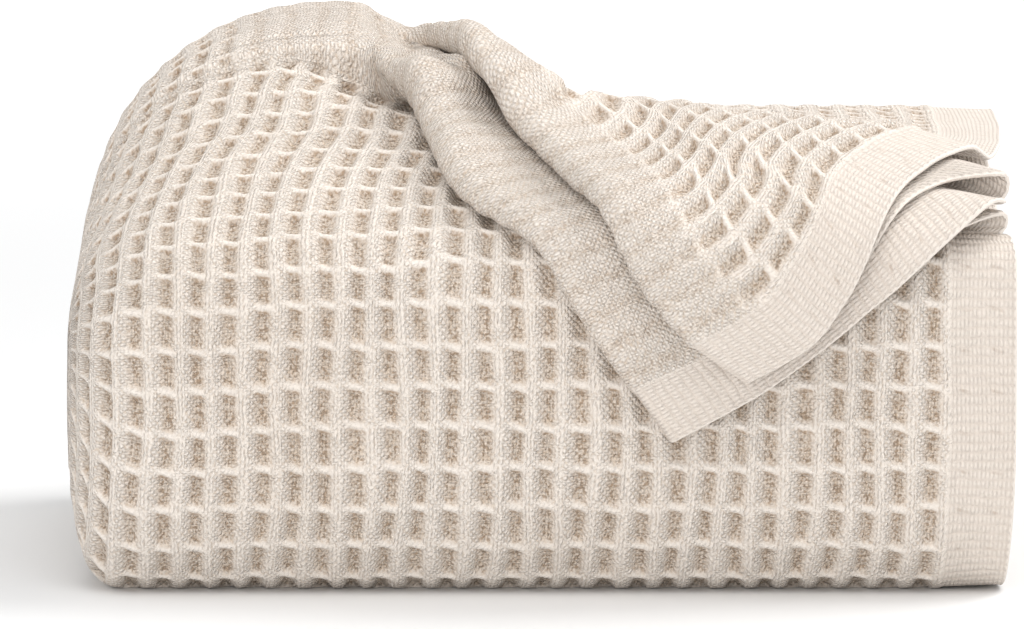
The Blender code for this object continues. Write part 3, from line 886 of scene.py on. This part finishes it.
    def _row_counts(self, body: np.ndarray, named: dict[str, int]) -> tuple[np.ndarray, list[int]]:
        """The fine rows: as many after each coarse row as its widest gap needs.

        Args:
            body: (x, up, lift), rows by stations.
            named: each line's row.

        Returns:
            The coarse rows' knots, which are running square roots of the mean gaps, and the
            number of fine rows from each on.
        """
        gaps = np.linalg.norm(np.diff(self.bed.lifted(body), axis=0), axis=2)
        roots = np.sqrt(np.maximum(gaps.mean(axis=1), self.least_gap))
        counts = []
        for row, gap in enumerate(gaps.max(axis=1)):
            step = self.hidden_step if row < named["foot"] else self.row_step
            if row >= named["rear"]:
                step *= self.rear_coarser
            counts.append(max(1, math.ceil(gap / step)))
        return np.concatenate([[0.0], np.cumsum(roots)]), counts

    def _distances(self, whole: np.ndarray, columns: np.ndarray,
                   marks: dict[str, int], start: np.ndarray) -> tuple[np.ndarray, np.ndarray]:
        """Distances on the cloth, evened out up to the crown where the folds gather.

        Args:
            whole: (x, y, z) of the whole layer.
            columns: places along the layer of the columns before the closing ones.
            marks: each line's row.
            start: the points of those columns before the forms and the settling.

        Returns:
            u and v at each point.
        """
        closing = whole.shape[1] - len(columns)
        u = steps_of(whole, 1)
        v = steps_of(start, 0)
        v -= v[marks["foot"]]
        v = np.concatenate([v, np.repeat(v[:, -1:], closing, axis=1)], axis=1)
        gathered = slice(marks["slope_high"], marks["rear"] + 1)
        crown = u[gathered, len(columns) - 1]
        even_crown = np.interp(v[gathered, -1], v[gathered, -1][[0, -1]], crown[[0, -1]])
        share = rise(np.concatenate([columns, np.full(closing, ALONG[-1])]), *self.crown_even)
        u[gathered] += (even_crown - crown)[:, None] * share
        return u, v

    def _tautness(self, x: np.ndarray, up: np.ndarray, v: np.ndarray,
                  marks: dict[str, int]) -> np.ndarray:
        """Where the cloth is drawn smooth: over each roll and in the eased patch.

        Args:
            x: how far right each point is.
            up: how far up the bed.
            v: its distance along the selvage.
            marks: each line's row.

        Returns:
            0 for the full weave to 1 for smooth cloth.
        """
        taut = np.zeros_like(v)
        for roll, reach in self.taut_reach.items():
            away = v - v[marks[roll]]
            taut = np.maximum(taut, rise(away, *self.taut_before) * (1 - rise(away, *reach)))
        return np.maximum(taut, self.eased.at(x, up)) * rise(x, *self.taut_across)

    def fine(self) -> FineCloth:
        """The whole layer on its fine grid.

        The coarse grid is read by smooth curves along the stations and then along the rows, and
        lifted off the bed, and the closing columns follow. The low forms move it along the bed's
        normals, or the closing columns along their own, and then it settles.

        Returns:
            The fine cloth.
        """
        body, named = self.coarse()
        columns = self._columns(body[named["face"]])
        wide = np.moveaxis(through(self._along(), np.moveaxis(body, 1, 0), columns), 0, 1)
        own, counts = self._row_counts(body, named)
        starts = np.concatenate([[0], np.cumsum(counts)])
        marks = {name: int(starts[row]) for name, row in named.items()}
        grid = through(own, wide, row_places(own, counts))
        points = self.bed.lifted(grid)
        closing = self.end.close(points[:, -1])
        up = np.concatenate([grid[..., 1], np.repeat(grid[:, -1:, 1], closing.shape[1], axis=1)],
                            axis=1)
        whole = np.concatenate([points, closing], axis=1)
        outward = normals_of(whole)
        outward[:, :len(columns)] = self.bed.lifted(grid + (0, 0, 1)) - points
        over = rise(np.arange(len(grid))[:, None], marks["inner_fold_1"], marks["roll_1"])
        x = whole[..., 0]
        shift = sum((form.at(x, up, over) for form in self.raised), self.hollow.at(x, up, over - 1))
        whole = self.settling.settled(whole + outward * shift[..., None])
        u, v = self._distances(whole, columns, marks, points)
        fade = np.ones(whole.shape[1])
        fade[len(columns):] = np.clip(self.end.shrink() / self.relief_until, 0, 1)
        return FineCloth(whole, normals_of(whole), u, v, np.broadcast_to(fade, u.shape),
                         self._tautness(whole[..., 0], up, v, marks), marks)


class Cut(Enum):
    """The layer's pieces, cut within its folds: name, first and last line, and where v starts."""
    FRONT = ("blanket_front", "sole_back", "under_2", "foot")
    ROLL = ("blanket_roll", "under_2", "under_5", "roll_1")
    FLAP = ("blanket_flap", "under_5", "top_back", "roll_2")
    BACK = ("blanket_back", "top_back", "hem", "roll_2")


@dataclass
class Wrap:
    """The outermost layer's pieces, with their waffle relief."""
    layer: FoldedLayer
    smooth_cuts: tuple[str, str] = ("under_2", "under_5")
    smooth_reach: float = 5.0
    flattening: float = 0.82
    hem_radius: float = 1.6
    sole_crest: float = 2.5
    sole_rows: int = 4

    def build(self) -> list[bpy.types.Object]:
        """Cut the fine layer at the hidden lines and make each piece."""
        cloth = self.layer.fine()
        return [self._shell(cloth, cut).build() for cut in Cut]

    def _shell(self, cloth: FineCloth, cut: Cut) -> Shell:
        """One piece, with the weave in its outer skin and its hem or sole finished.

        The distance along the selvage starts again at each roll, so that the weave's rows run
        along it, and is the same on both sides of a cut at the crown. The weave fades out towards
        the cuts inside the folds.

        Args:
            cloth: the whole layer.
            cut: which piece of it.

        Returns:
            The closed piece of cloth.
        """
        name, start, stop, origin = cut.value
        marks, weave = cloth.marks, self.layer.weave
        rows = slice(marks[start], marks[stop] + 1)
        v = cloth.v[rows] - cloth.v[marks[origin]] + cloth.v[marks[origin], -1]
        u, v = weave.wandered(cloth.u[rows], v)
        taut = cloth.taut[rows]
        for line in (start, stop):
            if line in self.smooth_cuts:
                away = np.abs(cloth.v[rows] - cloth.v[marks[line]])
                taut = np.maximum(taut, 1 - rise(away, 0.0, self.smooth_reach))
        outside = weave.outside(u, v, cloth.fade[rows] * (1 - taut * self.flattening))
        inside = weave.inside(u)
        if cut is Cut.BACK:
            hem = np.clip((v[-1:] - v) / self.hem_radius, 0.2, 1)
            outside, inside = outside * hem, inside * hem
        if cut is Cut.FRONT:
            before = (marks["instep"] - np.arange(len(v))) / self.sole_rows
            sole = np.clip(before, 0, 1)[:, None]
            outside = np.minimum(outside, self.sole_crest + (1 - sole))
        return Shell(name, cloth.points[rows], cloth.normal[rows], outside, inside, u, v, taut)


@dataclass
class InnerStack:
    """The layers inside the bundle, laid back and forth a little apart.

    Their turns are looked for near ends_near and within searched of the front and back, keep the
    pitch and clearance off the bed, and draw in at the left from drawn_from on: first in height,
    then in depth.
    """
    bed: Bed
    end: LeftEnd
    settling: Settling
    layers: int = 16
    stations: int = 9
    right_end: float = 187.0
    span_points: int = 3
    uneven: float = 1.6
    pitch: float = 6.4
    thickness: float = 4.6
    edge_radius: float = 2.0
    lowest_pitch: float = 8.6
    top_pitch: float = 8.2
    clear_above: float = -8.0
    clearance: float = 0.8
    searched: float = 90.0
    search_points: int = 181
    ends_near: Span = (14.0, 262.0)
    rear_lean: float = 34.0
    drawn_from: Span = (-93.0, -147.0)
    hollow: Form = Form(11.0, -74.0, 52.0, 135.0, 48.0)
    lowest_level: float = 10.2
    left_ends: tuple = ((0, 0.15, 0.6, 0.85, 1), (-160, -166, -160, -152, -140))
    span_rows: int = 9
    turn_rows: int = 5
    columns: int = 34

    def _height(self, share: float, x: np.ndarray, y: np.ndarray) -> np.ndarray:
        """Height of a layer, evenly between the lowest and one that follows the bed's top.

        Args:
            share: the layer's share of the stack's height; 0 is the lowest.
            x: how far to the right.
            y: how far back.

        Returns:
            The height at each x and y.
        """
        lowest = self.bed.resting + self.lowest_pitch
        highest = np.min([self.bed.height(x, y + shift) for shift in (-5, 0, 8)], axis=0)
        highest = highest - self.top_pitch - self.hollow.at(x, y)
        core = self.end.core_height
        highest = core + (highest - core) * self.end.drawn_in(x, self.drawn_from[0])
        return lowest + (highest - lowest) * share

    def _clear(self, x: np.ndarray, z: np.ndarray, side: int) -> np.ndarray:
        """The y nearest to the front (side 1) or back (side -1) that keeps clear of the bed.

        Args:
            x: how far to the right, by station.
            z: the layer's height there.
            side: 1 or -1.

        Returns:
            The y by station.
        """
        share = self.bed.left_share(x)
        tried = np.linspace(0, self.searched, self.search_points)
        tried = tried if side == 1 else self.bed.depth - tried
        depths = []
        for index in range(len(x)):
            bed = self.bed.right * (1 - share[index]) + self.bed.left * share[index]
            bed = bed[self.bed.up > self.clear_above][::4]
            distance = np.full(len(tried), math.inf)
            levels = z[index] - self.pitch * np.array([0, 0.5, 1])
            for level in np.maximum(levels, self.lowest_level):
                away = np.hypot(tried[:, None] - bed[:, 0], level - bed[:, 1]).min(axis=1)
                distance = np.minimum(distance, away)
            outside = tried[distance < self.pitch + self.clearance]
            if side == 1:
                depths.append(outside[outside < self.searched].max() + 0.5)
            else:
                depths.append(outside[outside > self.bed.depth - self.searched].min() - 0.5)
        return np.array(depths)

    def _ends(self, share: float, x: np.ndarray) -> tuple[np.ndarray, np.ndarray]:
        """Where a layer's turns start at the back and at the front.

        Args:
            share: the layer's share of the stack's height.
            x: how far to the right, by station.

        Returns:
            The y of both, by station.
        """
        corner = self.end.drawn_in(x, self.drawn_from[1])
        front, back = [self._clear(x, self._height(share, x, np.full(self.stations, near)), side)
                       for near, side in zip(self.ends_near, (1, -1))]
        back = back - self.rear_lean * share ** 5
        front = self.end.core_front + (front - self.end.core_front) * corner
        back = self.end.core_back + (back - self.end.core_back) * corner
        return back - self.pitch / 2, front + self.pitch / 2

    def middle(self) -> tuple[np.ndarray, list[int]]:
        """Coarse rows of the middle surface, from the top layer down.

        Returns:
            (x, y, z), rows by stations, and the number of fine rows after each.
        """
        rng = np.random.default_rng(11)
        rows, counts = [], []
        top = self.layers - 1
        for index in range(top, -1, -1):
            share = index / top
            left = np.interp(share, *self.left_ends)
            x = np.linspace(self.right_end - rng.uniform(0, self.uneven * 2), left, self.stations)
            start, end = self._ends(share, x)[::1 if index % 2 else -1]
            sway = rng.uniform(-1, 1) * self.uneven / 4
            for part in np.linspace(0, 1, self.span_points + 2):
                y = start + (end - start) * part
                z = self._height(share, x, y) + sway * math.sin(math.pi * part)
                rows.append(np.column_stack([x, y, z]))
                counts.append(self.span_rows)
            if index:
                counts[-1] = self.turn_rows
                radius = self.pitch / 2 if end[0] > start[0] else -self.pitch / 2
                y = end + radius + rng.uniform(-1, 0.6)
                below = self._height((index - 1) / top, x, end)
                z = (self._height(share, x, end) + below) / 2
                rows.append(np.column_stack([x, y, z]))
                counts.append(self.turn_rows)
        return np.array(rows), counts

    def build(self) -> bpy.types.Object:
        """Make the stack as one closed cloth: smooth curves through its rows and stations.

        Returns:
            The piece.
        """
        rows, counts = self.middle()
        places = np.concatenate([[0, 0.3, 0.9, 1.8], np.linspace(4, 100, self.columns)])
        places = places / 100 * (self.stations - 1)
        wide = np.moveaxis(through(np.arange(self.stations), np.moveaxis(rows, 1, 0), places), 0, 1)
        gaps = np.linalg.norm(np.diff(rows, axis=0), axis=2).mean(axis=1)
        own = np.concatenate([[0.0], np.cumsum(np.sqrt(gaps))])
        points = self.settling.settled(through(own, wide, row_places(own, counts)))
        u = steps_of(points, 1)
        half = self.thickness / 2 * rounded(u, self.edge_radius)
        return Shell("blanket_layers", points, -normals_of(points), half, -half, u,
                     steps_of(points, 0), np.zeros_like(u), row_stride=1, column_stride=1).build()


Value = "Socket | float"


class Socket:
    """A value in a material: Python arithmetic on it adds Math nodes."""

    def __init__(self, nodes: "Nodes", link: bpy.types.NodeSocket) -> None:
        """Keep the node tree's helper and the output that holds the value."""
        self.nodes = nodes
        self.link = link

    def __add__(self, other: Value) -> "Socket":
        """The sum."""
        return self.nodes.math("ADD", self, other)

    __radd__ = __add__

    def __sub__(self, other: Value) -> "Socket":
        """The difference."""
        return self.nodes.math("SUBTRACT", self, other)

    def __rsub__(self, other: Value) -> "Socket":
        """A number less this value."""
        return self.nodes.math("SUBTRACT", other, self)

    def __mul__(self, other: Value) -> "Socket":
        """The product."""
        return self.nodes.math("MULTIPLY", self, other)

    __rmul__ = __mul__

    def __truediv__(self, other: Value) -> "Socket":
        """The quotient."""
        return self.nodes.math("DIVIDE", self, other)

    def wave(self, pitch: float) -> "Socket":
        """Rounded strands: the size of sin(pi x / pitch)."""
        return self.nodes.math("ABSOLUTE", self.nodes.math("SINE", self * (math.pi / pitch)))

    def fraction(self) -> "Socket":
        """The part after the point."""
        return self.nodes.math("FRACT", self)

    def near(self) -> "Socket":
        """Distance to the nearest whole number, of a fraction."""
        return self.nodes.math("MINIMUM", self, 1 - self)

    def step(self, low: float, high: float) -> "Socket":
        """Smooth step: 0 at low, 1 at high, either way round."""
        node = self.nodes.node("ShaderNodeMapRange", {"interpolation_type": "SMOOTHSTEP"},
                               {"Value": self, "From Min": low, "From Max": high})
        return Socket(self.nodes, node.outputs["Result"])


class Nodes:
    """Adds nodes to one material's tree."""

    def __init__(self, tree: bpy.types.NodeTree) -> None:
        """Keep the tree."""
        self.tree = tree

    def node(self, kind: str, settings: dict, values: dict) -> bpy.types.Node:
        """Add a node of any type.

        Args:
            kind: the node's type.
            settings: its properties, set first.
            values: numbers, colours or links for its sockets, by name or place.

        Returns:
            The node.
        """
        made = self.tree.nodes.new(kind)
        for name, setting in settings.items():
            setattr(made, name, setting)
        for name, value in values.items():
            if isinstance(value, Socket):
                self.tree.links.new(value.link, made.inputs[name])
            else:
                made.inputs[name].default_value = value
        return made

    def math(self, operation: str, *values: Value) -> Socket:
        """A Math node on up to three values."""
        made = self.node("ShaderNodeMath", {"operation": operation}, dict(enumerate(values)))
        return Socket(self, made.outputs[0])

    def mix(self, share: Value, first: Value, second: Value) -> Socket:
        """A number that goes from the first to the second by share."""
        made = self.node("ShaderNodeMix", {"data_type": "FLOAT"}, {0: share, 2: first, 3: second})
        return Socket(self, made.outputs[0])

    def blend(self, share: Value, first: object, second: object) -> Socket:
        """A colour that goes from the first to the second by share."""
        made = self.node("ShaderNodeMix", {"data_type": "RGBA"}, {0: share, 6: first, 7: second})
        return Socket(self, made.outputs[2])

    def noise(self, vector: Socket, scale: float, detail: float = 2.0) -> Socket:
        """Noise from 0 to 1 on a vector."""
        made = self.node("ShaderNodeTexNoise", {}, {"Vector": vector, "Scale": scale,
                                                    "Detail": detail})
        return Socket(self, made.outputs["Fac"])

    def jitter(self, vector: Socket, scale: float, size: float, detail: float = 2.0) -> Socket:
        """Noise of a whole size, half of it either way of 0."""
        return (self.noise(vector, scale, detail) - 0.5) * size


class ClothPlace(NamedTuple):
    """Where a point lies on the cloth, as values in the material.

    solid is its place in the piece, u and v are in millimetres, and the yarn's u and v wander.
    across and down are its place in its cell, and the rest are masks from 0 to 1.
    """
    solid: Socket
    u: Socket
    v: Socket
    u_yarn: Socket
    v_yarn: Socket
    across: Socket
    down: Socket
    taut: Socket
    in_band: Socket
    upright: Socket
    level: Socket
    pit: Socket
    edge: Socket


@dataclass(frozen=True)
class Cotton:
    """Natural off-white cotton yarn in a waffle weave, with its plain ribbed band.

    u_wander and v_wander are a noise's scale and its size in millimetres, the steps are where a
    mask starts and is full, and the yarns' widths and the pitches of their twist are in
    millimetres. yarn_height is in metres.
    """
    weave: Weave = field(default_factory=Weave)
    ridge: tuple = (0.82, 0.755, 0.69, 1)
    # The pits' colour: partly the cotton's own tone, partly painted shade for the recesses.
    pit: tuple = (0.70, 0.585, 0.475, 1)
    # Painted deep shade: the small holes in the weave and the shadow beside each float.
    deep_shade: tuple = (0.31, 0.20, 0.12, 1)
    selvage: tuple = (0.79, 0.725, 0.66, 1)
    # Painted shade between the yarns, and at a low share a broad random mottle of tone.
    groove_shade_and_mottle: tuple = (0.55, 0.44, 0.34, 1)
    band: tuple = (0.69, 0.61, 0.54, 1)
    u_wander: Span = (260, 1.6)
    v_wander: Span = (310, 2.0)
    ridge_step: Span = (0.44, 0.19)
    float_step: Span = (0.19, 0.06)
    edge_step: Span = (1.1, 0.6)
    strand: float = 1.7
    twist: float = 2.5
    float_width: float = 2.2
    float_twist: float = 2.3
    knot: float = 2.6
    stitch: float = 1.75
    rib: float = 3.9
    yarn_height: float = 0.00095
    surface: tuple[tuple[str, float], ...] = (
        ("Roughness", 0.95), ("Metallic", 0.0), ("Specular IOR Level", 0.15),
        ("Sheen Weight", 0.12), ("Sheen Roughness", 0.6))

    def _place(self, n: Nodes) -> ClothPlace:
        """Read the point's place on the cloth and work out which part of the weave it is in.

        Args:
            n: the material's nodes.

        Returns:
            The place and its masks.
        """
        w = self.weave
        uv = n.node("ShaderNodeUVMap", {"uv_map": "cloth"}, {})
        split = n.node("ShaderNodeSeparateXYZ", {}, {0: Socket(n, uv.outputs[0])})
        solid = Socket(n, n.node("ShaderNodeTexCoord", {}, {}).outputs["Object"])
        u = Socket(n, split.outputs[0]) * 1000
        v = Socket(n, split.outputs[1]) * 1000
        u_yarn = u + n.jitter(solid, *self.u_wander)
        v_yarn = v + n.jitter(solid, *self.v_wander)
        across = ((u_yarn * 0.7 + u * 0.3 - w.band) / w.cell_across).fraction()
        down = ((v_yarn * 0.6 + v * 0.4) / w.cell_down - (across - 0.5) * w.slope).fraction()
        upright = (across - w.lean).near().step(*self.ridge_step)
        in_band = u.step(w.band + 1.5, w.band - 1.0)
        taut = Socket(n, n.node("ShaderNodeAttribute", {"attribute_name": "taut"},
                                {}).outputs["Fac"])
        level = down.near().step(*self.float_step) * (1 - taut)
        pit = (1 - upright) * (1 - level) * (1 - in_band) * (1 - taut * 0.65)
        return ClothPlace(solid, u, v, u_yarn, v_yarn, across, down, taut, in_band, upright, level,
                          pit, u.step(*self.edge_step))

    def _yarn(self, n: Nodes, at: ClothPlace) -> Socket:
        """Height of the yarns, from 0 to 1.

        Twisted strands run up the ridges and along the floats, round knots fill the pits and
        rows of small dashes the band.

        Args:
            n: the material's nodes.
            at: the place on the cloth.

        Returns:
            The height.
        """
        broken = n.noise(at.solid, 190).step(0.36, 0.58)
        strands = at.upright * at.across.step(0.62, 0.42) * (1 - at.taut) * (broken * 0.7 + 0.2)
        upright = at.u_yarn.wave(self.strand) * (
            1 - (at.v_yarn * 0.8 + at.u).wave(self.twist) * 0.5)
        level = (at.down.near() * self.weave.cell_down).step(self.float_width, 0.2)
        level = level * (1 - (at.u_yarn + at.v_yarn * 0.8).wave(self.float_twist) * 0.35)
        knots = (at.u_yarn + at.v_yarn).wave(self.knot) * (
            at.u_yarn - at.v_yarn * 0.9).wave(self.knot)
        dashes = (at.v + n.jitter(at.solid, 330, 1.3, 1)).wave(self.rib)
        band = (at.u + n.jitter(at.solid, 200, 0.7, 1)).wave(self.stitch) * 0.55
        band = band * (0.4 + dashes * 0.6) + dashes * 0.45
        yarn = n.mix(strands, n.mix(at.level * (1 - at.upright * 0.7), knots, level), upright)
        yarn = n.mix(at.in_band, yarn, band)
        return n.mix(at.edge, yarn, 1.0)

    def _colour(self, n: Nodes, at: ClothPlace, yarn: Socket) -> Socket:
        """The cotton's colour: darker in the pits, partly in tone and partly as painted shade;
        painted shade in the small holes, beside each float and between the yarns.

        Args:
            n: the material's nodes.
            at: the place on the cloth.
            yarn: the yarns' height.

        Returns:
            The colour.
        """
        broad = n.noise(at.solid, 14, 3)
        speck = n.noise(at.solid, 600).step(0.40, 0.56)
        # Painted shade in the small holes of the weave, also as dark specks on the taut cloth.
        hole = n.noise(at.solid, 760, 1).step(0.50, 0.40)
        # Painted shadow: a dark line along the side of each float that faces the pit.
        under = at.down.step(0.80, 0.86) * at.down.step(0.93, 0.89) * (1 - at.upright) * (
            1 - at.taut)
        # Painted shade between the yarns.
        groove = (1 - yarn) * (1 - yarn) * (1 - at.in_band)
        # The pits take the pit colour, which is partly painted shade.
        base = n.blend(at.pit * (0.95 - speck * 0.4), self.ridge, self.pit)
        base = n.blend((at.pit + at.taut * 0.2) * hole * 0.75, base, self.deep_shade)
        base = n.blend(groove * (1 - at.pit * 0.4) * (0.75 - speck * 0.45), base, self.groove_shade_and_mottle)
        base = n.blend(under * (0.7 - speck * 0.4), base, self.deep_shade)
        base = n.blend(at.in_band * (1 - yarn * 0.6), base, self.band)
        base = n.blend(at.edge, base, self.selvage)
        return n.blend(broad.step(0.35, 0.75) * 0.10, base, self.groove_shade_and_mottle)

    def material(self) -> bpy.types.Material:
        """Make the material; distances on the cloth come from the piece's own UV map.

        Returns:
            The material.
        """
        made = bpy.data.materials.new("cotton_waffle")
        made.use_nodes = True
        n = Nodes(made.node_tree)
        shader = made.node_tree.nodes["Principled BSDF"]
        at = self._place(n)
        yarn = self._yarn(n, at)
        height = yarn + n.noise(at.solid, 900, 3) * 0.7
        relief = n.node("ShaderNodeBump", {}, {"Strength": 1.0, "Distance": self.yarn_height,
                                               "Height": height})
        n.tree.links.new(self._colour(n, at, yarn).link, shader.inputs["Base Color"])
        n.tree.links.new(relief.outputs[0], shader.inputs["Normal"])
        for name, value in self.surface:
            shader.inputs[name].default_value = value
        return made


@dataclass
class Blanket:
    """The whole folded blanket, with each piece's flat size in metres."""
    flat: dict[str, Span] = field(default_factory=lambda: {
        "blanket_front": (0.45, 0.49), "blanket_roll": (0.48, 0.16),
        "blanket_flap": (0.48, 0.20), "blanket_back": (0.48, 0.16),
        "blanket_layers": (0.35, 4.25)})

    def build(self) -> list[bpy.types.Object]:
        """Returns:
            The pieces.
        """
        bed, end, settling, weave = Bed(), LeftEnd(), Settling(), Weave()
        pieces = Wrap(FoldedLayer(bed, end, weave, settling)).build()
        pieces.append(InnerStack(bed, end, settling).build())
        cotton = Cotton(weave).material()
        for piece in pieces:
            piece.data.materials.append(cotton)
            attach(piece, "root")
            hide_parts("blanket")
            LOG.info("%s: %d faces", piece.name, len(piece.data.polygons))
        return pieces


class Lamp(NamedTuple):
    """A square area light: where it stands, its side in metres, its power and its colour."""
    name: str
    place: Place
    size: float
    watts: float
    colour: Place


@dataclass
class Studio:
    """A plain white floor, soft light and the camera."""
    elevation: float = 7.5
    distance: float = 3.8
    pixel: float = 0.4065e-3
    width: int = 1024
    sensor: float = 36.0
    reach: float = 14.0
    glow: Span = (0.5, 2.6)
    sky: float = 0.76
    target: Place = (-0.0112, -0.1258, 0.1175)
    lamps: tuple[Lamp, ...] = (
        Lamp("key", (0.85, 0.25, 1.25), 0.8, 13, (1.0, 0.99, 0.975)),
        Lamp("overhead", (-0.1, -0.75, 1.5), 0.9, 7, (1.0, 0.99, 0.98)),
        Lamp("fill", (-0.5, -2.2, 0.55), 1.2, 14, (1.0, 0.99, 0.98)))

    def build(self) -> None:
        """Set the floor, the lights, the world and the camera."""
        self._floor()
        for lamp in self.lamps:
            self._light(lamp)
        bpy.context.scene.view_settings.view_transform = "Standard"
        world = bpy.data.worlds.new("studio")
        bpy.context.scene.world = world
        world.use_nodes = True
        back = world.node_tree.nodes["Background"]
        back.inputs[0].default_value = (1, 1, 1, 1)
        back.inputs[1].default_value = self.sky
        self._camera()

    def _floor(self) -> None:
        """A wide white floor that glows from a little way behind the bundle on."""
        far = self.reach
        mesh = bpy.data.meshes.new("floor")
        mesh.from_pydata([(-far, -far, 0), (far, -far, 0), (far, far, 0), (-far, far, 0)], [],
                         [(0, 1, 2, 3)])
        paint = bpy.data.materials.new("floor_white")
        paint.use_nodes = True
        shader = paint.node_tree.nodes["Principled BSDF"]
        shader.inputs["Base Color"].default_value = (0.85, 0.855, 0.86, 1)
        shader.inputs["Roughness"].default_value = 0.7
        shader.inputs["Emission Strength"].default_value = 0.5
        n = Nodes(paint.node_tree)
        place = Socket(n, n.node("ShaderNodeTexCoord", {}, {}).outputs["Object"])
        away = n.node("ShaderNodeVectorMath", {"operation": "LENGTH"}, {0: place})
        share = Socket(n, away.outputs["Value"]).step(*self.glow)
        glow = n.blend(share, (0, 0, 0, 1), (1, 1, 1, 1))
        n.tree.links.new(glow.link, shader.inputs["Emission Color"])
        mesh.materials.append(paint)
        floor = bpy.data.objects.new("floor", mesh)
        bpy.context.scene.collection.objects.link(floor)

    @staticmethod
    def _light(lamp: Lamp) -> None:
        """Hang a light that points at the bundle.

        Args:
            lamp: the light.
        """
        light = bpy.data.lights.new(lamp.name, "AREA")
        light.size = lamp.size
        light.energy = lamp.watts
        light.color = lamp.colour
        hung = bpy.data.objects.new(lamp.name, light)
        hung.location = lamp.place
        towards = Vector((0, 0, 0.1)) - Vector(lamp.place)
        hung.rotation_euler = towards.to_track_quat("-Z", "Y").to_euler()
        bpy.context.scene.collection.objects.link(hung)

    def _camera(self) -> None:
        """The photograph's view: from the front, a little above."""
        turn = math.radians(self.elevation)
        direction = Vector((0, math.cos(turn), -math.sin(turn)))
        data = bpy.data.cameras.new("camera")
        data.sensor_width = self.sensor
        data.lens = self.sensor * self.distance / (self.width * self.pixel)
        data.clip_end = 50
        camera = bpy.data.objects.new("camera", data)
        camera.location = Vector(self.target) - direction * self.distance
        camera.rotation_euler = direction.to_track_quat("-Z", "Y").to_euler()
        bpy.context.scene.collection.objects.link(camera)
        bpy.context.scene.camera = camera


def main() -> None:
    logging.basicConfig(level=logging.INFO, format="%(name)s: %(message)s", stream=sys.stdout)
    Studio().build()
    Blanket().build()
    bpy.context.view_layer.update()


if __name__ == "__main__":
    main()
